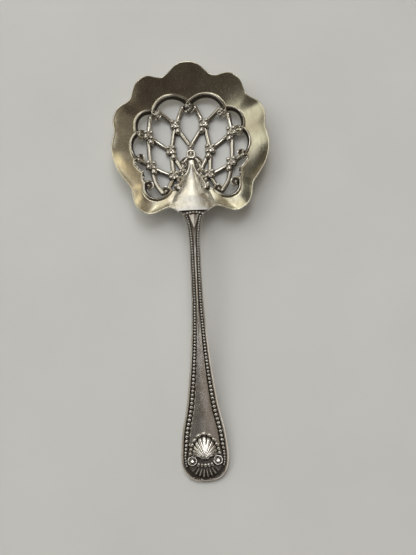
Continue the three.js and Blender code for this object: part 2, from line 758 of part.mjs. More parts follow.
function crownGeometry() {
  const shoulder = (crownRingRadius + crownRingBore) / 2;
  const ring = [
    [crownRingBore, 0], [crownRingRadius, 0], [crownRingRadius, petalHeight / 2],
    [shoulder, petalHeight], [crownRingBore, petalHeight / 2], [crownRingBore, 0],
  ].map(([across, up]) => new THREE.Vector2(across, up));
  const ringSolid = solidOf(new THREE.LatheGeometry(ring, 2 * domeSides).rotateX(Math.PI / 2));
  const bead = dome(petalRadius, eyeHeight).translate(0, crownRingRadius + petalRadius / 2, 0);
  const scrolls = [1, -1].map((side) => (
    dome(petalRadius, petalHeight).translate(side * crownRingRadius, -crownRingRadius, 0)
  ));
  return geometryOf(ringSolid.add(joined([bead, ...scrolls])));
}

// Fluted fan: ribs that spread from a root, standing on a flat foot
function fanGeometry({ ribs, span, height, width, relief, start }) {
  const across = 2 * ribs;
  const top = [];
  const foot = [];
  for (const [share, arch] of fanProfile) {
    for (let step = 0; step <= across; step += 1) {
      const turn = rad(span * (2 * step / across - 1));
      const flute = (1 + Math.cos(2 * Math.PI * ribs * step / across)) / 2;
      const edge = 1 / Math.hypot(Math.sin(turn) / (width / 2), Math.cos(turn) / height);
      const reach = start + (edge - start) * share * (1 - ribNotch * flute * share);
      const rise = relief * arch * (1 - ribSink * flute * share);
      const [x, y] = [reach * Math.sin(turn), reach * Math.cos(turn)];
      top.push(new THREE.Vector3(x, y, rise));
      foot.push(new THREE.Vector3(x, y, 0));
    }
  }
  const wide = across + 1;
  const shift = top.length;
  const triangles = [];
  for (let ring = 0; ring < fanProfile.length - 1; ring += 1) {
    for (let step = 0; step < across; step += 1) {
      const a = ring * wide + step;
      triangles.push(a, a + 1, a + wide, a + 1, a + wide + 1, a + wide);
      const b = a + shift;
      triangles.push(b, b + wide, b + 1, b + 1, b + wide, b + wide + 1);
    }
  }
  const rows = fanProfile.length - 1;
  const edge = [];
  for (let step = 0; step < across; step += 1) edge.push(step);
  for (let ring = 0; ring < rows; ring += 1) edge.push(ring * wide + across);
  for (let step = across; step > 0; step -= 1) edge.push(rows * wide + step);
  for (let ring = rows; ring > 0; ring -= 1) edge.push(ring * wide);
  edge.forEach((a, k) => {
    const b = edge[(k + 1) % edge.length];
    triangles.push(b, a, a + shift, b, a + shift, b + shift);
  });
  return outward(geometryFrom([...top, ...foot], triangles));
}

// A ring around a bead
const bossProfile = [
  [0, 0], [1, 0], [1, 0.45], [0.85, 0.75], [0.68, 0.75], [0.58, 0.4], [0.5, 0.4], [0.45, 0.8], [0.25, 1],
  [0, 1],
];

function bossGeometry() {
  const outline = bossProfile.map(([across, up]) => new THREE.Vector2(bossRadius * across, bossHeight * up));
  return new THREE.LatheGeometry(outline, 2 * domeSides).rotateX(Math.PI / 2);
}

// Assembly
const spoon = new THREE.Group();

function add(name, geometry, material, parent = spoon) {
  const mesh = new THREE.Mesh(geometry, material);
  mesh.name = name;
  parent.add(mesh);
  return mesh;
}

function addSeated(name, geometry, point, turnAbout = 0) {
  const { place, turn } = seat(point, padRise + solderGap);
  const mesh = add(name, geometry, gilt);
  mesh.position.copy(place);
  mesh.quaternion.copy(turn).multiply(
    new THREE.Quaternion().setFromAxisAngle(new THREE.Vector3(0, 0, 1), turnAbout),
  );
}

add('bowl', bowlGeometry(), gilt);
add('openwork', openworkGeometry(), gilt);
add('handle', handleGeometry(), silver);
addSeated('pendant', clusterGeometry(), spot('pendant', 1));
addSeated('crown', crownGeometry(), spot('crown', 1));
add('neck_bead_row', neckRowGeometry(), silver);

const terminal = new THREE.Group();
terminal.position.set(0, tipY + shellRootAt, handleTop(shellRootAt) + solderGap);
terminal.rotation.x = rad(terminalSlope);
spoon.add(terminal);

for (const [hand, side] of [['left', -1], ['right', 1]]) {
  for (const name of florets) {
    const casting = floretGeometry(side, name !== 'tongue');
    addSeated(`${name}_floret_${hand}`, casting, spot(`${name}Floret`, side));
  }
  const clusterTurn = -side * rad(spots.cluster[0]);
  addSeated(`arch_cluster_${hand}`, clusterGeometry(), spot('cluster', side), clusterTurn);
  const leafTurn = -side * rad(halfTurn - spots.leaf[0]);
  addSeated(`leaf_${hand}`, leafGeometry(), spot('leaf', side), leafTurn);
  add(`bead_border_${hand}`, borderGeometry(side), silver);
  const boss = add(`boss_${hand}`, bossGeometry(), silver, terminal);
  boss.position.set(side * bossSpread, -bossBelowRoot, 0);
}

const shellForm = { ribs: shellRibs, span: shellSpan, height: shellHeight, width: shellWidth };
add('shell', fanGeometry({ ...shellForm, relief: shellRelief, start: shellStart }), silver, terminal);
const fanForm = { ribs: fanRibs, span: fanSpan, height: fanRadius, width: fanWidth };
const fan = add('fan', fanGeometry({ ...fanForm, relief: fanRelief, start: fanStart }), silver, terminal);
fan.rotation.z = Math.PI;
const rootRow = [-1, 0, 1].map((across) => new THREE.Vector3(across * rootRowWidth / 2, -rootRowAt, 0));
add('fan_bead_row', beadRow(rootRow, () => rootRowBead), silver, terminal);

export default spoon;
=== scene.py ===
import math
import bmesh
import bpy
import numpy as np
from mathutils import Matrix, Vector


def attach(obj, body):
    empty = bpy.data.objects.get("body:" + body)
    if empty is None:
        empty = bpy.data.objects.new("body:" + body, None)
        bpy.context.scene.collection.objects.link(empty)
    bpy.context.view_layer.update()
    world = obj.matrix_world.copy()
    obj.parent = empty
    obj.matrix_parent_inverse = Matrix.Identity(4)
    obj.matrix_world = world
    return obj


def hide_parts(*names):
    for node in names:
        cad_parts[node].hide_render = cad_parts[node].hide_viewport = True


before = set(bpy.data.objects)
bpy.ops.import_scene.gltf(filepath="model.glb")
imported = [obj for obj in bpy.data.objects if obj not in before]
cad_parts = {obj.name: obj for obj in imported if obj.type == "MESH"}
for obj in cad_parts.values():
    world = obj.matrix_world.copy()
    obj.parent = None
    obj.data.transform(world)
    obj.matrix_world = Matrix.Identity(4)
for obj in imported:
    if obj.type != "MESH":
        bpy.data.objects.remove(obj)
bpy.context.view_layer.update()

mm = 0.001
sides = ((1, "right"), (-1, "left"))
print("frame loaded,", len(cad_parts), "nodes")


# Small helpers, all sizes in mm until a mesh is made

def smooth(value, start, end):
    share = np.clip((np.asarray(value, float) - start) / (end - start), 0, 1)
    return share * share * (3 - 2 * share)


def between(pair, share):
    return pair[0] + (pair[1] - pair[0]) * share


def hump(value, middle, width):
    return np.exp(-((value - middle) / width) ** 2)


def unit(vectors):
    return vectors / np.linalg.norm(vectors, axis=-1, keepdims=True)


def roundTurns(count):
    return np.linspace(0, 2 * math.pi, count, endpoint=False)


def hermite(share, start, startSlope, end, endSlope):
    s2 = share * share
    s3 = s2 * share
    rising = 3 * s2 - 2 * s3
    return start + (end - start) * rising + startSlope * (s3 - 2 * s2 + share) + endSlope * (s3 - s2)


def splineThrough(points, steps):
    # Catmull-Rom through plan points
    p = np.asarray(points, float)
    p = np.vstack([2 * p[0] - p[1], p, 2 * p[-1] - p[-2]])
    t = np.linspace(0, 1, steps, endpoint=False)[:, None]
    out = []
    for k in range(1, len(p) - 2):
        a, b, c, d = p[k - 1], p[k], p[k + 1], p[k + 2]
        out.append(0.5 * (2 * b + (c - a) * t + (2 * a - 5 * b + 4 * c - d) * t ** 2
                          + (3 * b - a - 3 * c + d) * t ** 3))
    return np.vstack(out + [p[-2][None]])


def arcThrough(a, b, c, steps):
    a, b, c = (np.asarray(v, float) for v in (a, b, c))
    d = 2 * (a[0] * (b[1] - c[1]) + b[0] * (c[1] - a[1]) + c[0] * (a[1] - b[1]))
    sa, sb, sc = a @ a, b @ b, c @ c
    middle = np.array([(sa * (b[1] - c[1]) + sb * (c[1] - a[1]) + sc * (a[1] - b[1])) / d,
                       (sa * (c[0] - b[0]) + sb * (a[0] - c[0]) + sc * (b[0] - a[0])) / d])
    start, via, end = (math.atan2(*(v - middle)[::-1]) for v in (a, b, c))
    turn = (end - start) % (2 * math.pi)
    if (via - start) % (2 * math.pi) > turn:
        turn -= 2 * math.pi
    angles = start + turn * np.linspace(0, 1, steps)
    radius = np.linalg.norm(a - middle)
    return middle + radius * np.stack([np.cos(angles), np.sin(angles)], -1)


def lengthAlong(path):
    return np.concatenate([[0], np.cumsum(np.linalg.norm(np.diff(path, axis=0), axis=1))])


def evenly(path, pitch):
    # the same path with points at an even pitch
    along = lengthAlong(path)
    count = max(int(round(along[-1] / pitch)), 2)
    at = np.linspace(0, along[-1], count + 1)
    return np.stack([np.interp(at, along, path[:, k]) for k in range(path.shape[1])], -1)


def gridFaces(rows, columns, wrap):
    index = np.arange(rows * columns).reshape(rows, columns)
    side = np.roll(index, -1, axis=1) if wrap else index[:, 1:]
    near = index if wrap else index[:, :-1]
    quads = np.stack([near[:-1], side[:-1], side[1:], near[1:]], -1)
    return quads.reshape(-1, 4).tolist()


def loft(rings):
    # closed tube through rings of points, with a fan at each end
    rows, columns = rings.shape[:2]
    points = np.vstack([rings.reshape(-1, 3), rings[0].mean(0), rings[-1].mean(0)])
    faces = gridFaces(rows, columns, True)
    last = (rows - 1) * columns
    for k in range(columns):
        j = (k + 1) % columns
        faces.append([j, k, rows * columns])
        faces.append([last + k, last + j, rows * columns + 1])
    return points, faces


def stud(centre, axes, sizes, count, rows, pole):
    # a closed egg about its centre, from three axes and their half-sizes
    turns = roundTurns(count)[:, None]
    ring = sizes[0] * np.cos(turns) * axes[0] + sizes[1] * np.sin(turns) * axes[1]
    lifts = np.linspace(-math.pi / 2 + pole, math.pi / 2 - pole, rows)
    return loft(np.array([centre + axes[2] * sizes[2] * math.sin(t) + math.cos(t) * ring for t in lifts]))


def joinParts(parts):
    points, faces, first = [], [], 0
    for p, f in parts:
        points.append(p)
        faces += [[v + first for v in face] for face in f]
        first += len(p)
    return np.vstack(points), faces


def facesOut(mesh, sharp=40):
    work = bmesh.new()
    work.from_mesh(mesh)
    bmesh.ops.recalc_face_normals(work, faces=work.faces)
    work.to_mesh(mesh)
    work.free()
    mesh.polygons.foreach_set("use_smooth", [True] * len(mesh.polygons))
    mesh.set_sharp_from_angle(angle=math.radians(sharp))
    mesh.update()


def meshOf(name, points, faces):
    mesh = bpy.data.meshes.new(name)
    mesh.from_pydata((np.asarray(points) * mm).tolist(), [], faces)
    facesOut(mesh)
    return mesh


def pointsOf(mesh):
    flat = np.empty(len(mesh.vertices) * 3)
    mesh.vertices.foreach_get("co", flat)
    return flat.reshape(-1, 3) / mm


def setLevel(mesh, name, values):
    layer = mesh.attributes.get(name) or mesh.attributes.new(name, "FLOAT", "POINT")
    layer.data.foreach_set("value", np.clip(np.asarray(values, float), 0, 1))


def setOxideAndShade(mesh, values):
    # how much oxide a point has in a hollow and how much painted shade it gets, read by the metal's patina
    setLevel(mesh, "recess", values)


def oxideAndShadeOf(mesh):
    deep = np.empty(len(mesh.vertices))
    mesh.attributes["recess"].data.foreach_get("value", deep)
    return deep


def addObject(name, data):
    thing = bpy.data.objects.new(name, data)
    bpy.context.scene.collection.objects.link(thing)
    return thing


def finishedMesh(thing):
    # plain mesh of an object with its modifiers
    bpy.context.view_layer.update()
    graph = bpy.context.evaluated_depsgraph_get()
    return bpy.data.meshes.new_from_object(thing.evaluated_get(graph))


def addPiece(name, mesh, metal, slot, *nodes):
    mesh.materials.clear()
    mesh.materials.append(metal)
    piece = addObject(name, mesh)
    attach(piece, "root")
    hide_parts(*nodes)


def addNode(tree, kind, feeds=None, **settings):
    # each feed is a socket's own value or the output that is linked to it
    node = tree.nodes.new(kind)
    for key, value in settings.items():
        setattr(node, key, value)
    for label, feed in (feeds or {}).items():
        if isinstance(feed, bpy.types.NodeSocket):
            tree.links.new(feed, node.inputs[label])
        else:
            node.inputs[label].default_value = feed
    return node


def mixOver(tree, under, colour, share):
    feeds = {"A": under, "B": (*colour, 1), "Factor": share}
    return addNode(tree, "ShaderNodeMix", feeds, data_type="RGBA").outputs["Result"]


def ranged(tree, value, span, ends=(0, 1), **settings):
    feeds = {"Value": value, "From Min": span[0], "From Max": span[1], "To Min": ends[0], "To Max": ends[1]}
    return addNode(tree, "ShaderNodeMapRange", feeds, **settings).outputs["Result"]


def mathOf(tree, kind, *values, clamp=False):
    feeds = dict(enumerate(values))
    return addNode(tree, "ShaderNodeMath", feeds, operation=kind, use_clamp=clamp).outputs["Value"]


# Metals

patina = {  # where each noise begins and ends to show, and how deep the marks go in metres
    "cloud": (0.42, 0.68), "streak": (0.45, 0.7), "speck": (0.5, 0.75), "rough": (0.3, 0.7), "oxideAndShadeShare": (0.12, 0.85),
    "breakUp": (0.35, -0.17), "dulling": 0.35, "scratchDepth": 0.00003, "dentDepth": 0.0002,
    "cloudDetail": 4, "speckDetail": 6, "lineDetail": 3,
}


def makeMetal(name, look):
    metal = bpy.data.materials.new(name)
    metal.use_nodes = True
    tree = metal.node_tree
    shader = tree.nodes["Principled BSDF"]
    shader.inputs["Metallic"].default_value = 1
    place = addNode(tree, "ShaderNodeTexCoord").outputs["Object"]
    stretch = addNode(tree, "ShaderNodeMapping", {"Vector": place, "Scale": look["scratchStretch"]})
    stretched = stretch.outputs["Vector"]

    def noise(where, scale, detail):
        feeds = {"Vector": where, "Scale": scale, "Detail": detail}
        return addNode(tree, "ShaderNodeTexNoise", feeds).outputs["Fac"]

    def attribute(label):
        return addNode(tree, "ShaderNodeAttribute", attribute_name=label).outputs["Fac"]

    def bump(height, strength, depth, **below):
        feeds = {"Strength": strength, "Distance": depth, "Height": height, **below}
        return addNode(tree, "ShaderNodeBump", feeds).outputs["Normal"]

    cloud = noise(place, look["cloudScale"], patina["cloudDetail"])
    speck = noise(place, look["speckScale"], patina["speckDetail"])
    streak = noise(stretched, look["streakScale"], patina["lineDetail"])
    scratch = noise(stretched, look["scratchScale"], patina["lineDetail"])

    # clouds of tarnish, bare silver where the gilding has gone, streaks along the polish, specks of wear
    colour = (*look["bright"], 1)
    for layer, share in (("tarnished", ranged(tree, cloud, patina["cloud"], (0, look["tarnish"]))),
                         ("worn", attribute("bare")),
                         ("tarnished", ranged(tree, streak, patina["streak"], (0, look["streak"]))),
                         ("worn", ranged(tree, speck, patina["speck"], (0, look["wear"])))):
        colour = mixOver(tree, colour, look[layer], share)

    # dark oxide in hollows and painted shade, broken up by the specks
    broken = mathOf(tree, "MULTIPLY_ADD", speck, *patina["breakUp"])
    depth = mathOf(tree, "ADD", attribute("recess"), broken, clamp=True)
    oxideAndShadeShare = ranged(tree, depth, patina["oxideAndShadeShare"], (0, look["oxideAndShadeShare"]), interpolation_type="SMOOTHSTEP")
    tree.links.new(mixOver(tree, colour, look["oxideAndShadeColour"], oxideAndShadeShare), shader.inputs["Base Color"])

    # roughness follows the specks and the dark oxide and painted shade
    rough = ranged(tree, speck, patina["rough"], look["roughness"])
    dull = mathOf(tree, "MULTIPLY_ADD", oxideAndShadeShare, patina["dulling"], rough, clamp=True)
    tree.links.new(dull, shader.inputs["Roughness"])

    # long polishing scratches and soft dents
    scratched = bump(scratch, look["scratch"], patina["scratchDepth"])
    dented = bump(cloud, look["dent"], patina["dentDepth"], Normal=scratched)
    tree.links.new(dented, shader.inputs["Normal"])
    return metal


giltLook = {
    "bright": (0.81, 0.78, 0.63), "tarnished": (0.5, 0.42, 0.32), "worn": (0.8, 0.79, 0.76),
    "oxideAndShadeColour": (0.07, 0.056, 0.044), "tarnish": 0.7, "wear": 0.35, "oxideAndShadeShare": 0.93,
    "cloudScale": 110, "speckScale": 2600, "roughness": (0.16, 0.28),
    "scratchStretch": (1, 0.16, 1), "scratchScale": 5200, "scratch": 0.12, "dent": 0.05,
    "streakScale": 900, "streak": 0.3,
}
latticeLook = dict(giltLook, bright=(0.83, 0.8, 0.71), tarnished=(0.55, 0.48, 0.4), tarnish=0.5, wear=0.2,
                   cloudScale=260, roughness=(0.15, 0.24), scratch=0.08)
ornamentLook = dict(latticeLook, bright=(0.87, 0.84, 0.77), tarnish=0.35)
handleLook = dict(giltLook, bright=(0.72, 0.69, 0.65), tarnished=(0.5, 0.43, 0.36), worn=(0.82, 0.8, 0.77),
                  wear=0.12, cloudScale=170, roughness=(0.2, 0.3), scratch=0.1, dent=0.04, streak=0.75)
beadLook = dict(handleLook, bright=(0.93, 0.91, 0.87), tarnish=0.15, wear=0.3, roughness=(0.15, 0.26))
shellLook = dict(beadLook, bright=(0.9, 0.87, 0.82), tarnished=(0.62, 0.55, 0.46), roughness=(0.18, 0.3))

paleGilt = makeMetal("paleGilt", giltLook)
latticeGilt = makeMetal("latticeGilt", latticeLook)
ornamentGilt = makeMetal("ornamentGilt", ornamentLook)
handleSilver = makeMetal("handleSilver", handleLook)
beadSilver = makeMetal("beadSilver", beadLook)
shellSilver = makeMetal("shellSilver", shellLook)
print("metals made")


# The fluted dish

dish = {
    "middle": 38.0, "notch": 24, "depth": 7.8, "seamHeight": 9.5, "floor": 8.5, "fluteStart": 13, "dip": 0.2,
    "lobes": (0, 34.4, 66, 98, 147, 180), "reaches": (3, 2.1, 1.5, 0.7, 3.8, 1), "breadth": 2.8,
    "flutes": (0.45, 0.08, 0.5, 0.6, 0.9, 1),  # how far each lobe is hollowed below the plain dish
    "notches": (19.9, 50.8, 81.3, 126.2, 162.5), "wallCurve": 1.9, "neckCurve": 1.4, "neckBlend": (125, 172),
    "sheet": 1.0, "rimSheet": 0.5, "thinFrom": 0.75, "heelDip": 0.8, "heelSpread": 5.5,
    "seam": 24.1, "seamTurns": (158, 168), "seamShares": (0.8, 0.97),  # where the sheet stands full at the handle
    "around": 640, "out": 64, "hub": 0.08, "spacing": 0.8, "rimSteps": 6, "sharp": 50,
}


def lobeAt(angle):
    turn = np.abs(angle)
    lobes, reaches = np.array(dish["lobes"]), np.array(dish["reaches"])
    after = np.clip(np.searchsorted(lobes, turn), 1, len(lobes) - 1)
    before, past, notch = lobes[after - 1], lobes[after], np.array(dish["notches"])[after - 1]
    rising, falling = (turn - before) / (notch - before) / 2, 1 - (past - turn) / (past - notch) / 2
    share = np.where(turn < notch, rising, falling)
    wave = 1 - np.abs(np.sin(math.pi * share)) ** dish["breadth"]
    near = np.where(share < 0.5, after - 1, after)
    atNeck = (after == len(lobes) - 1) & (share > 0.5)
    return reaches[near] * wave, np.where(atNeck, 0, wave), np.array(dish["flutes"])[near]


def underside(x, y):
    v = y - dish["middle"]
    radius = np.hypot(x, v)
    angle = np.degrees(np.arctan2(x, v))
    reach, wave, flute = lobeAt(angle)
    fluted = smooth(radius, dish["fluteStart"], dish["notch"])
    wall = dish["notch"] + flute * reach * fluted - dish["floor"]
    rise = np.clip((radius - dish["floor"]) / wall, 0, None)
    neck = smooth(np.abs(angle), *dish["neckBlend"])
    power = between((dish["wallCurve"], dish["neckCurve"]), neck)
    return dish["depth"] * rise ** power - dish["dip"] * wave * fluted


def dishNormal(x, y, step=0.04):
    slopeX = (underside(x + step, y) - underside(x - step, y)) / (2 * step)
    slopeY = (underside(x, y + step) - underside(x, y - step)) / (2 * step)
    return unit(np.stack([-slopeX, -slopeY, np.ones_like(slopeX)], -1))


def onDish(x, y, height):
    low = np.stack([x, y, underside(x, y)], -1)
    return low + dishNormal(x, y) * np.asarray(height)[..., None]


def sheetTop(x, y):
    return underside(x, y) + dish["sheet"] / dishNormal(x, y)[..., 2]


def seatAt(x, y, height):
    # one point over the dish, and the dish's normal there
    x, y = np.array([x]), np.array([y])
    return onDish(x, y, np.array([height]))[0], dishNormal(x, y)[0]


def polar(angle, radius):
    turn = np.radians(angle)
    return np.stack([radius * np.sin(turn), dish["middle"] + radius * np.cos(turn)], -1)


# The raised tongue that runs up from the handle into the lattice
tongue = {
    "tipAt": 5.3, "stations": (5.3, 6.8, 8.0, 9.5, 12.6, 15.0, 17.5, 20.0, 24.1),
    "halfWidths": (0.35, 0.85, 1.4, 2.15, 3.4, 4.5, 5.7, 6.4, 5.2), "tipRise": 0.55, "seamSlope": 9,
    "tipBlend": (-0.3, 1.2), "fullness": (0.6, 1.1), "fullBlend": (14, 21),  # a low fullness is a round section
}


def tongueHalf(back):
    return np.interp(back, tongue["stations"], tongue["halfWidths"])


def tongueRise(x, y):
    back = dish["middle"] - y
    span = dish["seam"] - tongue["tipAt"]
    share = np.clip((back - tongue["tipAt"]) / span, 0, 1)
    slope = span * math.tan(math.radians(tongue["seamSlope"]))
    ridge = hermite(share, dish["sheet"] + tongue["tipRise"], 0, dish["seamHeight"], slope)
    over = np.clip(ridge - sheetTop(np.zeros_like(x), y), 0, None)
    over = over * smooth(back - tongue["tipAt"], *tongue["tipBlend"])
    across = np.clip(1 - (x / tongueHalf(back)) ** 2, 0, 1)
    return over * across ** between(tongue["fullness"], smooth(back, *tongue["fullBlend"]))


def bowlShell():
    angles = np.linspace(-180, 180, dish["around"], endpoint=False)
    rim = dish["notch"] + lobeAt(angles)[0]
    rim = rim - dish["heelDip"] * hump(np.abs(angles), dish["notches"][-1], dish["heelSpread"])
    # straight across at the seam
    straight = np.maximum(np.abs(np.cos(np.radians(angles))), 0.01)
    rim = np.where(np.abs(angles) > 90, np.minimum(rim, dish["seam"] / straight), rim)
    rim = rim - dish["rimSheet"] / 2
    shares = np.linspace(dish["hub"], 1, dish["out"]) ** dish["spacing"]
    flat = polar(angles[None], shares[:, None] * rim[None])
    x, y = flat[..., 0], flat[..., 1]
    thick = between((dish["sheet"], dish["rimSheet"]), smooth(shares, dish["thinFrom"], 1)[:, None])
    upper = onDish(x, y, np.broadcast_to(thick, x.shape))
    # full sheet, straight up, where the handle meets it
    atSeam = smooth(np.abs(angles), *dish["seamTurns"])[None] * smooth(shares, *dish["seamShares"])[:, None]
    upper += (np.stack([x, y, sheetTop(x, y)], -1) - upper) * atSeam[..., None]
    upper[..., 2] += tongueRise(x, y)
    lower = onDish(x, y, np.zeros_like(x))
    # round edge
    outward = unit(lower[-1] - lower[-3])
    normal = unit(upper[-1] - lower[-1])
    middle = (upper[-1] + lower[-1]) / 2
    half = np.linalg.norm(upper[-1] - lower[-1], axis=-1, keepdims=True) / 2
    turns = np.linspace(0, math.pi, dish["rimSteps"] + 2)[1:-1]
    edge = [middle + half * math.cos(t) * normal + dish["rimSheet"] / 2 * math.sin(t) * outward for t in turns]
    return loft(np.concatenate([upper, np.array(edge), lower[::-1]]))


# Spots of the lattice, as degrees from the far lobe and mm from the bowl's middle
spots = {
    "crest": (0, 15.6), "archTop": (16.3, 18.47), "archFoot": (42, 17.29), "smallTop": (55.3, 19.38),
    "smallFoot": (72.5, 17.67), "sideTop": (89.4, 18.85), "sideFoot": (101.3, 17.59),
    "scrollOut": (106.7, 18.72), "scrollIn": (118.6, 17.8), "scrollFoot": (124.9, 19.0),
    "lowerStart": (131.6, 20.0), "lowerTop": (143.2, 21.95), "lowerFoot": (155.5, 17.5), "leaf": (161.6, 14.7),
    "tongueMid": (163, 10.4), "tongueTip": (151.7, 5.3), "crown": (180, 1.82), "innerCurl": (152, 16.3),
    "pendant": (0, 14.6), "cluster": (41.4, 16.0), "crownBead": (0, 1.22), "upperFloret": (27.6, 9.96),
    "outerFloret": (69.3, 14.44), "middleFloret": (92.2, 6.2), "lowerFloret": (113.7, 14.16),
    "tongueFloret": (148.8, 10.87), "tongueKnot": (157.5, 7.56), "lowerBarTop": (124.1, 14.9),
    "lowerBarMid": (137.4, 16.7), "lowerBarEnd": (151.6, 18.7), "archCurl": (7, 15.1), "footCurl": (37.3, 17.0),
    "smallCurl": (47.3, 17.0),
}
window = {"arcSteps": 36, "linkSteps": 10, "edgeSteps": 12, "merge": 0.02, "cut": (-4, 20)}


def spot(name, side=1):
    angle, radius = spots[name]
    return polar(side * angle, radius)


def frameLines(side):
    # arches, links and the tongue's edge, in order from the crest to the crown
    def arc(*names):
        return arcThrough(*(spot(n, side) for n in names), window["arcSteps"])

    def curve(names, steps):
        return splineThrough([spot(n, side) for n in names], steps)

    return [
        arc("crest", "archTop", "archFoot"), arc("archFoot", "smallTop", "smallFoot"),
        arc("smallFoot", "sideTop", "sideFoot"),
        curve(("sideFoot", "scrollOut", "scrollIn", "scrollFoot", "lowerStart"), window["linkSteps"]),
        arc("lowerStart", "lowerTop", "lowerFoot"),
        curve(("lowerFoot", "leaf", "tongueMid", "tongueTip", "crown"), window["edgeSteps"]),
    ]


def cutWindow(mesh):
    ring = np.vstack([np.vstack(frameLines(1)), np.vstack(frameLines(-1))[::-1]])
    ring = ring[np.linalg.norm(ring - np.roll(ring, 1, axis=0), axis=1) > window["merge"]]
    count = len(ring)
    points = np.vstack([np.column_stack([ring, np.full(count, z)]) for z in window["cut"]])
    faces = gridFaces(2, count, True) + [list(range(count)), list(range(count, 2 * count))]
    cutter = addObject("windowCutter", meshOf("windowCutter", points, faces))
    body = addObject("bowlBlank", mesh)
    cut = body.modifiers.new("window", "BOOLEAN")
    cut.operation = "DIFFERENCE"
    cut.solver = "EXACT"
    cut.object = cutter
    done = finishedMesh(body)
    for part in (cutter, body):
        bpy.data.objects.remove(part)
    return done


bowlTone = {  # mm from the tongue's edge, from the axis and back from the bowl's middle
    "beside": (0.05, 0.5), "besideEnd": (5.2, 6.2), "besideFrom": (0.5, 1.5), "besideTo": (13, 15), "dark": 0.95,
    "seamDarkFrom": (23.5, 23.85), "seamDarkEnd": (3.9, 4.6), "seamDark": 0.85,
    "bareFrom": (3, 6), "bareEdge": (-1.5, 2.5),
}
bowlMesh = cutWindow(meshOf("bowlBlank", *bowlShell()))
bowlMesh.name = "bowlSheet"
facesOut(bowlMesh, dish["sharp"])
# painted shade on the sheet beside the tongue, darker along the seam, and bare silver on the tongue and the heel
bowlPoints = pointsOf(bowlMesh)
back, offAxis = dish["middle"] - bowlPoints[:, 1], np.abs(bowlPoints[:, 0])
offTongue = offAxis - tongueHalf(back)
beside = smooth(offTongue, *bowlTone["beside"]) * (1 - smooth(offAxis, *bowlTone["besideEnd"]))
beside = beside * smooth(back, *bowlTone["besideFrom"]) * (1 - smooth(back, *bowlTone["besideTo"]))
alongSeam = smooth(back, *bowlTone["seamDarkFrom"]) * (1 - smooth(offAxis, *bowlTone["seamDarkEnd"]))
setOxideAndShade(bowlMesh, np.maximum(bowlTone["dark"] * beside, bowlTone["seamDark"] * alongSeam))
setLevel(bowlMesh, "bare", smooth(back, *bowlTone["bareFrom"]) * (1 - smooth(offTongue, *bowlTone["bareEdge"])))
addPiece("bowlSheet", bowlMesh, paleGilt, "gilt_bowl", "bowl")
print("bowl made,", len(bowlMesh.polygons), "faces")


# Geometry Nodes helpers

def startTree(name, inputs):
    tree = bpy.data.node_groups.new(name, "GeometryNodeTree")
    for label, kind in (("Geometry", "Geometry"), *inputs, ("Finish", "Material")):
        tree.interface.new_socket(label, in_out="INPUT", socket_type="NodeSocket" + kind)
    tree.interface.new_socket("Geometry", in_out="OUTPUT", socket_type="NodeSocketGeometry")
    return tree, tree.nodes.new("NodeGroupInput").outputs


def endTree(tree, given, grown):
    real = addNode(tree, "GeometryNodeRealizeInstances", {"Geometry": grown})
    shade = addNode(tree, "GeometryNodeSetShadeSmooth", {"Geometry": real.outputs["Geometry"]})
    feeds = {"Geometry": shade.outputs["Geometry"], "Material": given["Finish"]}
    paint = addNode(tree, "GeometryNodeSetMaterial", feeds)
    addNode(tree, "NodeGroupOutput", {"Geometry": paint.outputs["Geometry"]})
    return tree


def seedMesh(name, points, edges, **levels):
    # points with their own values for a tree, one number or one vector each
    mesh = bpy.data.meshes.new(name)
    mesh.from_pydata((np.asarray(points) * mm).tolist(), edges, [])
    for label, values in levels.items():
        values = np.asarray(values, float)
        kind, key = ("FLOAT", "value") if values.ndim == 1 else ("FLOAT_VECTOR", "vector")
        mesh.attributes.new(label, kind, "POINT").data.foreach_set(key, values.ravel())
    return mesh


def grow(name, base, tree, values):
    # runs a tree on a mesh and gives back a plain mesh
    seed = addObject(name, base)
    grown = seed.modifiers.new(name, "NODES")
    grown.node_group = tree
    for item in tree.interface.items_tree:
        if item.item_type == "SOCKET" and item.in_out == "INPUT" and item.name in values:
            grown[item.identifier] = values[item.name]
    mesh = finishedMesh(seed)
    seed.modifiers.remove(grown)
    bpy.data.objects.remove(seed)
    mesh.name = name
    return mesh


def pointValue(tree, name, kind="FLOAT"):
    return addNode(tree, "GeometryNodeInputNamedAttribute", {"Name": name}, data_type=kind).outputs["Attribute"]


def vectorOf(tree, **parts):
    return addNode(tree, "ShaderNodeCombineXYZ", parts).outputs["Vector"]


def placed(tree, what, **feeds):
    return addNode(tree, "GeometryNodeTransform", {"Geometry": what, **feeds}).outputs["Geometry"]


def litSphere(tree, size):
    # unit sphere with oxide and painted shade from its shine's height down to its foot
    ball = addNode(tree, "GeometryNodeMeshUVSphere", {
        "Segments": size["around"], "Rings": size["rows"], "Radius": 1})
    where = addNode(tree, "GeometryNodeInputPosition")
    split = addNode(tree, "ShaderNodeSeparateXYZ", {"Vector": where.outputs["Position"]})
    fade = ranged(tree, split.outputs["Z"], (size["shine"], size["foot"]), interpolation_type="SMOOTHSTEP")
    feeds = {"Geometry": ball.outputs["Mesh"], "Name": "recess", "Value": fade}
    store = addNode(tree, "GeometryNodeStoreNamedAttribute", feeds, data_type="FLOAT", domain="POINT")
    return store.outputs["Geometry"]


# The lattice: rods that follow paths over the dish, with scrolled ends

lattice = {
    "archHalf": 1.0, "smallHalf": 0.92, "sideHalf": 0.84, "linkHalf": 0.68, "lowerHalf": 0.9, "barHalf": 0.74,
    "edgeHalf": 0.5, "trimHalf": 0.36, "pitch": 0.26, "seat": 0.74, "nose": 0.5, "bend": 10,
    "archCurl": 1.2, "smallCurl": 1.1, "sideCurl": 1.15, "lowerCurl": 1.3, "curlEnd": 0.5, "curlTurns": 0.95,
    "taper": ([0, 0.2, 0.8, 1], [0.55, 1, 1, 0.55]), "studMesh": (18, 9, 0.08),
    "eye": 0.5, "eyeTall": 0.6, "eyeLift": 0.2, "studLift": 0.35, "studDark": (0.8, 1.45),
}
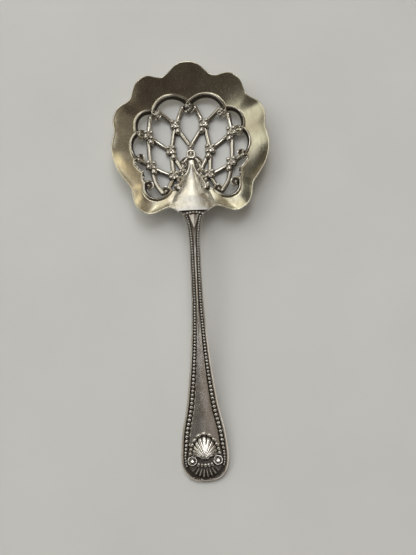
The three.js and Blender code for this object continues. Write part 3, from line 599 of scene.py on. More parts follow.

# sections for a half-width of 1, as height, place across and depth of oxide and painted shade
# bars: unshaded top, oxide and painted shade down the flanks and underside
barSection = (
    (-0.75, -0.68, 1), (-0.3, -0.96, 0.95), (0.12, -1.0, 0.85), (0.5, -0.87, 0.6), (0.82, -0.56, 0.25),
    (0.97, -0.24, 0), (1.0, 0, 0), (0.97, 0.24, 0), (0.82, 0.56, 0.15), (0.5, 0.87, 0.5), (0.12, 1.0, 0.8),
    (-0.3, 0.96, 0.95), (-0.75, 0.68, 1),
)
archSection = (  # unshaded ridge outside, painted shade in the hollow flank inside, a lighter inner edge as a painted reflection of the floor
    (-0.72, -0.85, 0.6), (0.0, -1.0, 0.6), (0.55, -0.97, 0.1), (0.88, -0.84, 0), (1.0, -0.64, 0), (0.95, -0.44, 0),
    (0.74, -0.27, 0.35), (0.5, -0.03, 0.85), (0.29, 0.28, 1), (0.1, 0.58, 1), (-0.07, 0.83, 0.85),
    (-0.22, 0.97, 0.3), (-0.42, 1.0, 0.25), (-0.74, 0.8, 0.6),
)


def curl(path, side, first, last, turns, steps=26):
    # goes on from the end of a path in a tightening spiral
    heading = math.atan2(*(path[-1] - path[-2])[::-1])
    at = path[-1].copy()
    turn = 2 * math.pi * turns / steps
    out = []
    for k in range(steps):
        radius = first + (last - first) * k / (steps - 1)
        heading += side * turn / 2
        at = at + radius * turn * np.array([math.cos(heading), math.sin(heading)])
        heading += side * turn / 2
        out.append(at)
    return np.array(out)


def rod(path, half, arch=False, taper=None):
    # a path on the dish with its normals, half-widths and kind of section
    path = evenly(np.asarray(path, float), lattice["pitch"])
    along = lengthAlong(path)
    scale = np.ones(len(path)) if taper is None else np.interp(along / along[-1], *taper)
    fromEnd = np.minimum(along, along[-1] - along)
    blunt = np.sqrt(1 - (1 - np.clip(fromEnd / lattice["nose"], 0.04, 1)) ** 2)
    x, y = path[:, 0], path[:, 1]
    seat = onDish(x, y, np.full(len(x), lattice["seat"]))
    return seat, dishNormal(x, y), half * scale * blunt, arch


def rodTree():
    # sweeps one of two sections along every chain of edges
    tree, given = startTree("latticeRods", [("Arch Section", "Object"), ("Bar Section", "Object")])
    normal, size = pointValue(tree, "rodNormal", "FLOAT_VECTOR"), pointValue(tree, "rodSize")
    feeds = {"Geometry": given["Geometry"], "Selection": pointValue(tree, "isArch")}
    split = addNode(tree, "GeometryNodeSeparateGeometry", feeds, domain="POINT")
    join = addNode(tree, "GeometryNodeJoinGeometry")
    for part, label in (("Selection", "Arch Section"), ("Inverted", "Bar Section")):
        line = addNode(tree, "GeometryNodeMeshToCurve", {"Mesh": split.outputs[part]})
        feeds = {"Curve": line.outputs["Curve"], "Normal": normal}
        level = addNode(tree, "GeometryNodeSetCurveNormal", feeds, mode="FREE")
        shape = addNode(tree, "GeometryNodeObjectInfo", {"Object": given[label]})
        ring = addNode(tree, "GeometryNodeMeshToCurve", {"Mesh": shape.outputs["Geometry"]})
        sweep = addNode(tree, "GeometryNodeCurveToMesh", {
            "Curve": level.outputs["Curve"], "Profile Curve": ring.outputs["Curve"],
            "Scale": size, "Fill Caps": True})
        tree.links.new(sweep.outputs["Mesh"], join.inputs["Geometry"])
    return endTree(tree, given, join.outputs["Geometry"])


def sectionObject(name, table):
    count = len(table)
    mesh = bpy.data.meshes.new(name)
    points = [(up, across, 0) for up, across, deep in table]
    mesh.from_pydata(points, [(k, (k + 1) % count) for k in range(count)], [])
    setOxideAndShade(mesh, [deep for up, across, deep in table])
    return addObject(name, mesh)


rodNodes = rodTree()


def growRods(name, rods, metal):
    seats, normals, halves, arches = zip(*rods)
    counts = [len(seat) for seat in seats]
    edges, first = [], 0
    for count in counts:
        edges += [(first + k, first + k + 1) for k in range(count - 1)]
        first += count
    base = seedMesh(name + "Paths", np.vstack(seats), edges, rodNormal=np.vstack(normals),
                    rodSize=np.concatenate(halves) * mm, isArch=np.repeat(arches, counts))
    arch, bar = sectionObject("archSection", archSection), sectionObject("barSection", barSection)
    mesh = grow(name, base, rodNodes, {"Arch Section": arch, "Bar Section": bar, "Finish": metal})
    for ring in (arch, bar):
        bpy.data.objects.remove(ring)
    return mesh


def knob(x, y, height, radius, tall):
    # a domed stud on the dish
    centre, normal = seatAt(x, y, height)
    right = unit(np.cross([0, 1, 0], normal))
    return stud(centre, (right, np.cross(normal, right), normal), (radius, radius, tall), *lattice["studMesh"])


def withStuds(name, rodMesh, studs):
    # one mesh of grown rods and lofted studs, with oxide and painted shade towards the studs' feet
    swept = pointsOf(rodMesh), [list(face.vertices) for face in rodMesh.polygons]
    studPoints, studFaces = joinParts(studs)
    over = studPoints[:, 2] - underside(studPoints[:, 0], studPoints[:, 1])
    mesh = meshOf(name, *joinParts([swept, (studPoints, studFaces)]))
    setOxideAndShade(mesh, np.concatenate([oxideAndShadeOf(rodMesh), 1 - smooth(over, *lattice["studDark"])]))
    return mesh


barEnds = [
    ("archCurl", "upperFloret"), ("footCurl", "upperFloret"), ("smallCurl", "outerFloret"),
    ("upperFloret", "middleFloret"), ("upperFloret", "crownBead"), ("outerFloret", "middleFloret"),
    ("outerFloret", "lowerFloret"), ("middleFloret", "tongueFloret"), ("middleFloret", "tongueKnot"),
    ("lowerFloret", "tongueFloret"), ("outerFloret", "smallFoot"), ("lowerFloret", "sideFoot"),
    ("tongueFloret", "tongueMid"), ("tongueFloret", "innerCurl"),
]
bentBar = ("lowerFloret", "lowerBarTop", "lowerBarMid", "lowerBarEnd")

# thin trim along the tongue and studs beside it, as mm from the axis and mm back from the bowl's middle
tongueTrim = ((0.55, 3.2), (0.66, 5.2), (1.0, 6.7), (1.95, 8.2), (2.75, 9.5), (3.5, 11.0), (4.4, 12.8))
tongueStuds = ((2.3, 7.2, 0.6), (3.4, 7.5, 0.66), (3.0, 9.1, 0.52), (3.75, 10.2, 0.54), (4.35, 11.4, 0.54))


def backFrom(points, side):
    return [(side * x, dish["middle"] - back) for x, back in points]


def latticeRods():
    rods, eyes = [], []
    for side in (1, -1):
        arch, small, flank, link, lower, edge = frameLines(side)
        for kind, path in (("arch", arch), ("small", small), ("side", flank), ("lower", lower)):
            # a spiral at each end, always run clockwise, so that the hollow flank faces the middle
            spiral = lattice[kind + "Curl"], lattice["curlEnd"], lattice["curlTurns"]
            path = np.vstack([curl(path[::-1], side, *spiral)[::-1], path, curl(path, -side, *spiral)])
            eyes.extend([path[0], path[-1]])
            rods.append(rod(path[::side], lattice[kind + "Half"], True, lattice["taper"]))
        rods.append(rod(link[::side], lattice["linkHalf"], True))
        rods.append(rod(edge, lattice["edgeHalf"]))
        eyes.extend([spot("scrollOut", side), spot("scrollIn", side), spot("scrollFoot", side)])
        for a, b in barEnds:
            rods.append(rod([spot(a, side), spot(b, side)], lattice["barHalf"]))
        bent = [spot(n, side) for n in bentBar]
        rods.append(rod(splineThrough(bent, lattice["bend"]), lattice["barHalf"]))
        rods.append(rod(splineThrough(backFrom(tongueTrim, side), lattice["bend"]), lattice["trimHalf"]))
    rods.append(rod([spot("crownBead"), spot("crown")], lattice["barHalf"]))
    studs = [knob(*eye, dish["sheet"] + lattice["eyeLift"], lattice["eye"], lattice["eyeTall"]) for eye in eyes]
    for side in (1, -1):
        for x, back, radius in tongueStuds:
            studs.append(knob(side * x, dish["middle"] - back, dish["sheet"] + lattice["studLift"], radius, radius))
    return rods, studs


rods, studs = latticeRods()
latticeMesh = withStuds("latticePanel", growRods("latticeRods", rods, latticeGilt), studs)
addPiece("latticePanel", latticeMesh, latticeGilt, "gilt_openwork", "openwork")
print("lattice made,", len(latticeMesh.polygons), "faces")


# Beads and florets

bead = {"around": 18, "rows": 12, "shine": 0.62, "foot": 0.02, "flatness": 0.95}


def beadTree():
    # one bead on every point, sized and turned by the point's own values
    tree, given = startTree("beadRow", [("Flatness", "Float")])
    size = pointValue(tree, "beadSize")
    tall = mathOf(tree, "MULTIPLY", size, given["Flatness"])
    turn = addNode(tree, "FunctionNodeEulerToRotation", {"Euler": pointValue(tree, "beadTurn", "FLOAT_VECTOR")})
    place = addNode(tree, "GeometryNodeInstanceOnPoints", {
        "Points": given["Geometry"], "Instance": litSphere(tree, bead),
        "Scale": vectorOf(tree, X=size, Y=pointValue(tree, "beadLength"), Z=tall),
        "Rotation": turn.outputs["Rotation"]})
    return endTree(tree, given, place.outputs["Instances"])


beadRow = beadTree()


def beads(name, points, radii, lengths, turns, node, flatness=bead["flatness"]):
    base = seedMesh(name + "Points", points, [], beadSize=np.multiply(radii, mm),
                    beadLength=np.multiply(lengths, mm), beadTurn=turns)
    mesh = grow(name, base, beadRow, {"Flatness": flatness, "Finish": beadSilver})
    addPiece(name, mesh, beadSilver, "silver_beads", node)


floret = {
    "petals": 4, "offset": 1.25, "radius": 0.86, "height": 1.0, "eye": 0.5, "eyeHeight": 0.8, "web": 1.5,
    "webHeight": 0.4, "drop": 0.98, "dropLength": 1.2, "dropOffset": 2.5, "dropTurn": 18, "seat": 1.45, "dull": 0,
    "around": 20, "rows": 12, "shine": 0.78, "foot": 0.02,
}
floretInputs = {
    "Petal Offset": "offset", "Petal Radius": "radius", "Petal Height": "height", "Eye Radius": "eye",
    "Eye Height": "eyeHeight", "Web Radius": "web", "Web Height": "webHeight", "Drop Radius": "drop",
    "Drop Length": "dropLength", "Drop Offset": "dropOffset",
}


def floretTree():
    # round petals about an eye on a low web, with a drop below
    labels = (*floretInputs, "Drop Turn", "Petal Turn")
    tree, given = startTree("floret", [("Petals", "Int"), *((label, "Float") for label in labels)])
    ball = litSphere(tree, floret)

    def sized(x, y, z):
        return vectorOf(tree, X=given[x], Y=given[y], Z=given[z])

    ring = addNode(tree, "GeometryNodeMeshCircle", {"Vertices": given["Petals"], "Radius": given["Petal Offset"]})
    petals = addNode(tree, "GeometryNodeInstanceOnPoints", {
        "Points": ring.outputs["Mesh"], "Instance": ball,
        "Scale": sized("Petal Radius", "Petal Radius", "Petal Height")})
    below = mathOf(tree, "MULTIPLY", given["Drop Offset"], -1)
    hanging = placed(tree, ball, Scale=sized("Drop Radius", "Drop Length", "Drop Radius"),
                     Translation=vectorOf(tree, Y=below))
    join = addNode(tree, "GeometryNodeJoinGeometry")
    for part in (placed(tree, petals.outputs["Instances"], Rotation=vectorOf(tree, Z=given["Petal Turn"])),
                 placed(tree, ball, Scale=sized("Eye Radius", "Eye Radius", "Eye Height")),
                 placed(tree, ball, Scale=sized("Web Radius", "Web Radius", "Web Height")),
                 placed(tree, hanging, Rotation=vectorOf(tree, Z=given["Drop Turn"]))):
        tree.links.new(part, join.inputs["Geometry"])
    return endTree(tree, given, join.outputs["Geometry"])


floretNodes = floretTree()


def addFloret(name, place, side, node, changes):
    size = dict(floret, **changes)
    values = {label: size[key] * mm for label, key in floretInputs.items()}
    values.update({"Petals": size["petals"], "Petal Turn": math.pi / size["petals"],
                   "Drop Turn": math.radians(-side * size["dropTurn"]), "Finish": ornamentGilt})
    mesh = grow(name, bpy.data.meshes.new(name + "Seed"), floretNodes, values)
    centre, normal = seatAt(*spot(place, side), size["seat"])
    turn = Vector((0, 0, 1)).rotation_difference(Vector(normal)).to_matrix().to_4x4()
    mesh.transform(Matrix.Translation(Vector(centre) * mm) @ turn)
    # dull adds painted shade all over the floret
    mesh.attributes["recess"].data.foreach_set("value", oxideAndShadeOf(mesh) + size["dull"])
    mesh.update()
    addPiece(name, mesh, ornamentGilt, "gilt_ornament", node)


# piece, spot, CAD node and what differs from the plain floret
floretKinds = [(f"{where}Floret", f"{where}Floret", f"{where}_floret", {})
               for where in ("upper", "outer", "middle", "lower")]
floretKinds += [
    ("tongueFloret", "tongueFloret", "tongue_floret", {"drop": 0.5, "dropLength": 0.5, "dropOffset": 0.2}),
    ("archCluster", "cluster", "arch_cluster", {
        "petals": 3, "offset": 0.62, "radius": 0.62, "height": 0.7, "eye": 0.4, "web": 0.9,
        "drop": 0.5, "dropLength": 0.8, "dropOffset": 1.0}),
    ("leaf", "leaf", "leaf", {
        "petals": 3, "offset": 0.55, "radius": 0.66, "height": 0.75, "web": 1.0,
        "drop": 0.8, "dropLength": 1.25, "dropOffset": 0.9, "dropTurn": 25}),
]
for side, word in sides:
    for piece, place, node, changes in floretKinds:
        addFloret(f"{piece}_{word}", place, side, f"{node}_{word}", changes)
# the pendant is darkened all over with painted shade
addFloret("pendant", "pendant", 1, "pendant", {
    "petals": 3, "offset": 0.75, "radius": 0.66, "height": 0.72, "eye": 0.45, "web": 1.05,
    "drop": 0.6, "dropLength": 0.95, "dropOffset": 1.15, "dropTurn": 0, "dull": 0.45})
print("florets made")


# The crown at the tongue's tip: a square ring, beads and two scrolls

crown = {
    "ring": 1.15, "wire": 0.42, "square": 3.2, "around": 48, "tube": 14, "seat": 1.4,
    "bead": 0.66, "beads": ((-0.55, 0.25), (0.55, 0.25), (0, -0.5)), "scrollSteps": 12, "stemSteps": 10,
    "eye": (0.5, 0.45), "eyeAhead": 0.1, "eyeSink": 0.25, "knot": 0.5, "scrollHalf": 0.575, "stemHalf": 0.46,
    "scroll": ((0.9, 2.9), (2.1, 3.0), (3.2, 4.1)), "spiral": (1.05, 0.4, 0.95),
    "taper": ([0, 0.3, 1], [0.8, 1, 0.7]), "stem": ((3.2, 4.6), (3.25, 6.0), (2.9, 7.2)),
}


def crownRing(x, y):
    count, around = crown["around"], crown["tube"]
    centre = seatAt(x, y, crown["seat"])[0]
    turns, tube = roundTurns(count), roundTurns(around)
    out = np.stack([np.cos(turns), np.sin(turns), np.zeros(count)], -1)
    power = crown["square"]
    squared = (np.abs(out[:, 0]) ** power + np.abs(out[:, 1]) ** power) ** (-1 / power)
    reach = crown["ring"] * squared[:, None] + crown["wire"] * np.cos(tube)[None]
    lift = np.array([0, 0, 1.0]) * (crown["wire"] * np.sin(tube))[None, :, None]
    ring = centre + out[:, None] * reach[..., None] + lift
    faces = gridFaces(count, around, True)
    last = (count - 1) * around
    faces += [[last + k, last + (k + 1) % around, (k + 1) % around, k] for k in range(around)]
    return ring.reshape(-1, 3), faces


def crownParts():
    ringX, ringY = spot("crown")
    beadX, beadY = spot("crownBead")
    studs = [crownRing(ringX, ringY)]
    studs.append(knob(ringX, ringY + crown["eyeAhead"], crown["seat"] - crown["eyeSink"], *crown["eye"]))
    for shiftX, shiftY in crown["beads"]:
        studs.append(knob(beadX + shiftX, beadY + shiftY, crown["seat"], crown["bead"], crown["bead"]))
    rods = []
    for side in (1, -1):
        line = splineThrough(backFrom(crown["scroll"], side), crown["scrollSteps"])
        path = np.vstack([line, curl(line, -side, *crown["spiral"])])
        rods.append(rod(path[::side], crown["scrollHalf"], True, crown["taper"]))
        rods.append(rod(splineThrough(backFrom(crown["stem"], side), crown["stemSteps"]), crown["stemHalf"]))
        studs.append(knob(*path[-1], crown["seat"], crown["knot"], crown["knot"]))
    return rods, studs


rods, studs = crownParts()
crownMesh = withStuds("crown", growRods("crownRods", rods, ornamentGilt), studs)
addPiece("crown", crownMesh, ornamentGilt, "gilt_ornament", "crown")
print("crown made")


# The handle, by distance from its tip; pairs are at the end and at the neck

handle = {
    "tip": -65.0, "length": 78.9, "width": 13.4, "round": 7.6, "blunt": 2.6, "stem": 3.2, "neck": 8.0,
    "widths": ((0.176, 0.87), (0.282, 0.53), (0.458, 0.2), (0.641, 0.02), (0.832, 0)),
    "flares": ((0.89, 0.05), (0.93, 0.17), (0.968, 0.42), (0.988, 0.74)),
    "slope": 9, "flat": 16, "tipHeight": 1.5, "crest": 10.4, "crestAt": 66, "seamHeight": 9.5,
    "thick": (1.75, 2.7), "edge": (0.66, 0.3), "bead": (1.06, 0.76), "endBead": 0.6, "clear": (0.16, 0.06),
    "taperAt": 11, "endAt": 4.4, "beadTaper": (16, 46), "groove": 0.5, "rimDrop": 0.45,
    "chamfer": 0.55, "chamferFall": 0.93, "chamferRound": 0.03, "panelCrown": 0.3, "crownTo": (71, 73),
    "ground": 0.4, "groundTo": (8.5, 10), "groundTone": 0.62,
    "roundSteps": 46, "stations": 460, "across": 50, "edgeSpacing": 1.5, "under": 26, "belly": 0.8,
    "firstTurn": 0.05, "outlineSteps": 40, "traceFrom": 0.01, "traceEnd": 90, "traceSide": 700, "tracePast": 2,
}
neckV = {  # sunk V-shaped facet at the neck, with a low roof and a raised edge
    "tipAt": 72.5, "length": 6, "half": 2.05, "depth": 0.5, "roof": 0.45, "roofHalf": 1.6, "side": (0.1, 0.45),
    "edge": 0.2, "edgeWidth": 0.2, "edgeFrom": (71.8, 72.8), "tone": 0.05,
}
stemRidge = {  # fine ridge between the bead borders, with painted shade beside it
    "start": (36, 52), "end": (64, 68.5), "height": 0.14, "half": 0.4, "line": 0.12, "dim": 0.75,
    "darkFrom": (34, 48), "dark": (0.55, 0.71), "edgeDark": 0.5,
}
seamBand = {"at": 77.1, "bow": 0.75, "half": 3.2, "side": (0.25, 0.5), "step": 0.25, "depth": 0.35, "tone": 0.85}
softEdges = {  # where each form of the handle's top begins and ends, in mm about its own edge
    "grooveOut": (-0.06, 0.12), "grooveIn": (-0.12, 0.1), "ground": (-0.05, 0.2), "panel": (-0.05, 0.15),
    "rim": (-0.1, 0), "crown": (0.8, 3),
}


def outlineTable():
    half, stem, neck = handle["width"] / 2, handle["stem"] / 2, handle["neck"] / 2
    points = [(half, handle["round"])]
    for wide, table in ((half, "widths"), (neck, "flares")):
        points += [(stem + (wide - stem) * share, at * handle["length"]) for at, share in handle[table]]
    points.append((neck, handle["length"]))
    return splineThrough(points, handle["outlineSteps"])


outline = outlineTable()


def halfWidth(d):
    d = np.asarray(d, float)
    turn = np.clip(1 - d / handle["round"], 0, 1)
    roundEnd = handle["width"] / 2 * np.clip(1 - turn ** handle["blunt"], 0, 1) ** (1 / handle["blunt"])
    return np.where(d < handle["round"], roundEnd, np.interp(d, outline[:, 1], outline[:, 0]))


def topAt(d):
    d = np.asarray(d, float)
    slope = math.tan(math.radians(handle["slope"]))
    flatEnd = handle["tipHeight"] + handle["flat"] * slope
    span = handle["crestAt"] - handle["flat"]
    rising = hermite(np.clip((d - handle["flat"]) / span, 0, 1), flatEnd, slope * span, handle["crest"], 0)
    fall = handle["length"] - handle["crestAt"]
    falling = hermite(np.clip((d - handle["crestAt"]) / fall, 0, 1), handle["crest"], 0,
                      handle["seamHeight"], -fall * slope)
    plain = handle["tipHeight"] + d * slope
    return np.where(d <= handle["flat"], plain, np.where(d <= handle["crestAt"], rising, falling))


def thickAt(d):
    return between(handle["thick"], smooth(d, handle["round"], handle["crestAt"]))


def beadAt(d):
    plain = between(handle["bead"], smooth(d, *handle["beadTaper"]))
    toEnd = 1 - smooth(d, handle["endAt"], handle["taperAt"])
    return plain + (handle["endBead"] - handle["bead"][0]) * toEnd


def clearAt(d):
    return between(handle["clear"], smooth(d, handle["flat"], handle["crestAt"]))


def edgeAt(d):
    return between(handle["edge"], smooth(d, handle["taperAt"], handle["crestAt"]))


def edgeDistance(x, d, block=4000):
    # distance from the handle's outline, seen from above
    turns = np.linspace(handle["traceFrom"], math.pi / 2, handle["traceEnd"])
    past = handle["length"] + handle["tracePast"]
    dense = np.concatenate([handle["round"] * (1 - np.cos(turns)),
                            np.linspace(handle["round"], past, handle["traceSide"])[1:]])
    points = np.column_stack([halfWidth(np.minimum(dense, handle["length"])), dense])
    flat = np.column_stack([np.abs(x).ravel(), d.ravel()])
    best = np.empty(len(flat))
    for start in range(0, len(flat), block):
        some = flat[start:start + block]
        best[start:start + block] = np.sqrt(((some[:, None] - points[None]) ** 2).sum(-1)).min(1)
    return best.reshape(x.shape)


def handleTopRelief(x, d, half):
    offAxis = np.abs(x)
    away = np.minimum(edgeDistance(x, d), half - offAxis)
    edge = edgeAt(d)
    inner = edge + (beadAt(d) + 2 * clearAt(d))
    # chamfered rim
    overhang = handle["chamfer"] * edge - away
    relief = -handle["chamferFall"] * (overhang + np.hypot(overhang, handle["chamferRound"])) / 2
    # groove for the beads
    inGroove = smooth(away - edge, *softEdges["grooveOut"]) * (1 - smooth(away - inner, *softEdges["grooveIn"]))
    relief = relief - handle["groove"] * inGroove
    # sunk ground under the shell and the fan, and a gently crowned panel past it
    ground = (1 - smooth(d, *handle["groundTo"])) * smooth(away - edge, *softEdges["ground"])
    panelHalf = np.maximum(half - inner, 0.05)
    onPanel = smooth(away - inner, *softEdges["panel"])
    crowned = handle["panelCrown"] * np.clip(1 - (x / panelHalf) ** 2, 0, 1)
    crowned = crowned * smooth(panelHalf, *softEdges["crown"])
    relief = relief + onPanel * crowned * (1 - ground) * (1 - smooth(d, *handle["crownTo"]))
    # ridge along the stem
    nearNeck = smooth(d, *stemRidge["end"])
    onStem = smooth(d, *stemRidge["start"]) * (1 - nearNeck)
    relief = relief + onStem * stemRidge["height"] * np.clip(1 - offAxis / stemRidge["half"], 0, 1)
    relief = relief - handle["ground"] * ground * (1 - inGroove)
    # V at the neck
    inside = neckV["half"] * (d - neckV["tipAt"]) / neckV["length"] - offAxis
    facet = smooth(inside, *neckV["side"])
    roof = neckV["roof"] * np.clip(1 - offAxis / neckV["roofHalf"], 0, 1)
    moulding = smooth(d, *neckV["edgeFrom"]) * hump(inside, 0, neckV["edgeWidth"]) * onPanel
    relief = relief - (neckV["depth"] - roof) * facet * onPanel + neckV["edge"] * moulding
    # sunk band for the bead row at the seam
    arc = seamBand["at"] + seamBand["bow"] * (1 - (x / seamBand["half"]) ** 2)
    band = smooth(d - arc, 0, seamBand["step"]) * smooth(half - offAxis, *seamBand["side"])
    relief = relief * (1 - band) - seamBand["depth"] * band
    # dark in the groove, on the ground and in the band; painted shade beside the stem's ridge, leaving a thin line
    # along it, and darker along its edges
    recess = np.maximum(inGroove, ground * handle["groundTone"])
    recess = np.maximum(np.maximum(recess, neckV["tone"] * facet * onPanel), seamBand["tone"] * band)
    line = (1 - stemRidge["dim"] * nearNeck) * hump(x, 0, stemRidge["line"])
    beside = between(stemRidge["dark"], nearNeck) * (1 - line) * onPanel
    shaded = np.maximum(beside, stemRidge["edgeDark"] * (1 - smooth(away - edge, *softEdges["rim"])))
    return relief, np.maximum(recess, smooth(d, *stemRidge["darkFrom"]) * (1 - facet) * shaded)


def handleShape():
    start = handle["round"] * (1 - np.cos(np.linspace(handle["firstTurn"], math.pi / 2, handle["roundSteps"])))
    rest = np.linspace(handle["round"], handle["length"], handle["stations"])[1:]
    d = np.concatenate([start, rest])
    half = halfWidth(d)
    u = np.linspace(0, 1, handle["across"]) ** handle["edgeSpacing"]
    x = np.concatenate([-(1 - u[:-1]), (1 - u)[::-1]])[None] * half[:, None]
    dd = np.broadcast_to(d[:, None], x.shape)
    relief, recess = handleTopRelief(x, dd, np.broadcast_to(half[:, None], x.shape))
    top = np.stack([x, handle["tip"] + dd, topAt(dd) + relief], -1)
    turns = np.linspace(0, math.pi, handle["under"] + 2)[1:-1]
    side = np.cos(turns)[None] * half[:, None]
    belly = (thickAt(d)[:, None] - handle["rimDrop"]) * np.sin(turns)[None] ** handle["belly"]
    low = np.maximum(topAt(d)[:, None] + (-handle["rimDrop"] - belly), 0)  # rests on the table at its tip
    bottom = np.stack([side, np.broadcast_to(handle["tip"] + d[:, None], side.shape), low], -1)
    points, faces = loft(np.concatenate([top, bottom], axis=1))
    deep = np.concatenate([recess, np.zeros_like(side)], axis=1)
    return points, faces, np.concatenate([deep.ravel(), [0, 0]])


# tapering drop that carries the bowl from below
drop = {
    "back": 1.2, "length": 6.5, "width": (5.6, 2.4), "bury": 0.3, "cover": 0.6, "belly": 0.7,
    "blunt": 1.02, "rows": 30, "sides": 40,
}


def dropShape():
    share = np.linspace(0, 1, drop["rows"])
    seamY = dish["middle"] - dish["seam"]
    y = seamY - drop["back"] + (drop["length"] + drop["back"]) * share
    half = between(drop["width"], share) / 2 * np.sqrt(drop["blunt"] - share ** 4)
    start = topAt(handle["length"]) - thickAt(handle["length"])
    low = between((start, underside(np.zeros(1), np.array([seamY + drop["length"]]))[0]), share)
    turns = roundTurns(drop["sides"])
    x = np.cos(turns)[None] * half[:, None]
    yy = np.broadcast_to(y[:, None], x.shape)
    top = underside(x, yy) + drop["bury"]
    top = np.where(yy < seamY, np.minimum(top, topAt(handle["length"]) - drop["cover"]), top)
    down = np.clip(-np.sin(turns), 0, 1)[None] ** drop["belly"]
    z = np.where(np.sin(turns)[None] >= 0, top, top + (low[:, None] - top) * down)
    return loft(np.stack([x, yy, z], -1))


points, faces, deep = handleShape()
dropPoints, dropFaces = dropShape()
handleMesh = meshOf("handleBody", *joinParts([(points, faces), (dropPoints, dropFaces)]))
setOxideAndShade(handleMesh, np.concatenate([deep, np.zeros(len(dropPoints))]))
addPiece("handleBody", handleMesh, handleSilver, "silver_handle", "handle")
print("handle made,", len(handleMesh.polygons), "faces")


# Bead borders along the handle

border = {
    "pitch": (1.13, 1.05), "fill": (0.97, 0.8), "sink": (0.3, 0.24), "stopBefore": 1.6,
    "traceFrom": 0.4, "trace": 3000, "slopeStep": 0.1,
}


def borderBeads(side):
    d = np.linspace(border["traceFrom"], handle["length"], border["trace"])
    half = halfWidth(d)
    tangent = unit(np.stack([np.gradient(half, d), np.ones_like(d)], -1))
    inset = edgeAt(d) + beadAt(d) / 2 + clearAt(d)
    x, y = half - tangent[:, 1] * inset, d + tangent[:, 0] * inset
    along = lengthAlong(np.column_stack([x, y]))
    at = np.interp(handle["endAt"], y, along)
    stop = np.interp(handle["length"] - border["stopBefore"], y, along)
    stretch, step = (handle["flat"], handle["crestAt"]), border["slopeStep"]
    places, radii, turns = [], [], []
    while at < stop:
        px, py = np.interp(at, along, x), np.interp(at, along, y)
        size = beadAt(py)
        sink = between(border["sink"], smooth(py, *stretch))
        places.append((side * px, handle["tip"] + py, topAt(py) - sink * size / 2))
        radii.append(np.interp(py, stretch, border["fill"]) * size / 2)
        slope = (topAt(py + step) - topAt(py - step)) / (2 * step)
        turns.append((math.atan(slope), 0, 0))
        at += size * np.interp(py, stretch, border["pitch"])
    return places, radii, turns


for side, word in sides:
    places, radii, turns = borderBeads(side)
    beads(f"beadBorder_{word}", places, radii, radii, turns, f"bead_border_{word}")

neckRow = {"count": 7, "at": 1.15, "bow": 0.6, "spread": 2.75, "bead": 0.78, "length": 0.85, "sink": -0.15}
spread = np.linspace(-1, 1, neckRow["count"])
rowD = handle["length"] - neckRow["at"] + neckRow["bow"] * (1 - spread ** 2)
rowRadius = np.full(neckRow["count"], neckRow["bead"] / 2)
rowPoints = [spread * neckRow["spread"], handle["tip"] + rowD, topAt(rowD) - neckRow["sink"] * rowRadius]
beads("neckBeadRow", np.column_stack(rowPoints), rowRadius, rowRadius * neckRow["length"],
      np.zeros((neckRow["count"], 3)), "neck_bead_row")
print("bead borders made")


# The shell, the bosses and the fan on the handle's end

terminal = {"rootAt": 6.3, "seat": 0.1, "slope": 9}


def onTerminal(points):
    # from the shell's own root and flat ground to the handle's sloping end
    turn = math.radians(terminal["slope"])
    x, v, z = points[..., 0], points[..., 1], points[..., 2]
    y = handle["tip"] + terminal["rootAt"] + v * math.cos(turn) - z * math.sin(turn)
    up = topAt(terminal["rootAt"]) + terminal["seat"] + v * math.sin(turn) + z * math.cos(turn)
    return np.stack([x, y, up], -1)


def addShellPiece(name, points, faces, deep, node):
    mesh = meshOf(name, onTerminal(points), faces)
    setOxideAndShade(mesh, deep)
    addPiece(name, mesh, shellSilver, "silver_shell", node)


def ovalReach(turn, size):
    return 1 / np.hypot(np.sin(turn) / (size["width"] / 2), np.cos(turn) / size["height"])


shell = {
    "height": 7.1, "width": 8.7, "ribs": 11, "span": 78, "ribPower": 2.6, "notch": 0.075, "skirt": 0.55,
    "rim": 0.75, "dome": 1.15, "domePower": 1.6, "valley": 0.5, "valleyFrom": (0.44, 0.84),
    "hollow": (0.86, 0.05), "hollowDepth": 0.2, "fall": 0.75, "fallFrom": 0.97, "sideFall": 0.35, "sideFrom": 52,
    "darkFrom": (0.78, 0.86), "dark": 0.9, "darkPower": 0.8, "rootAt": 0.1, "hub": 0.06, "rows": 46, "around": 242,
    "lobeAt": 0.965, "lobe": (0.46, 0.46, 0.5), "lobeLift": 0.74, "studDark": (0.35, 0.85),
    "studMesh": (24, 12, 0.06),
    "knobs": ((-0.6, 0.3, 0.55, 0.62), (0.6, 0.3, 0.55, 0.62), (0, 0.55, 0.75, 0.8)),  # place, lift and radius
}


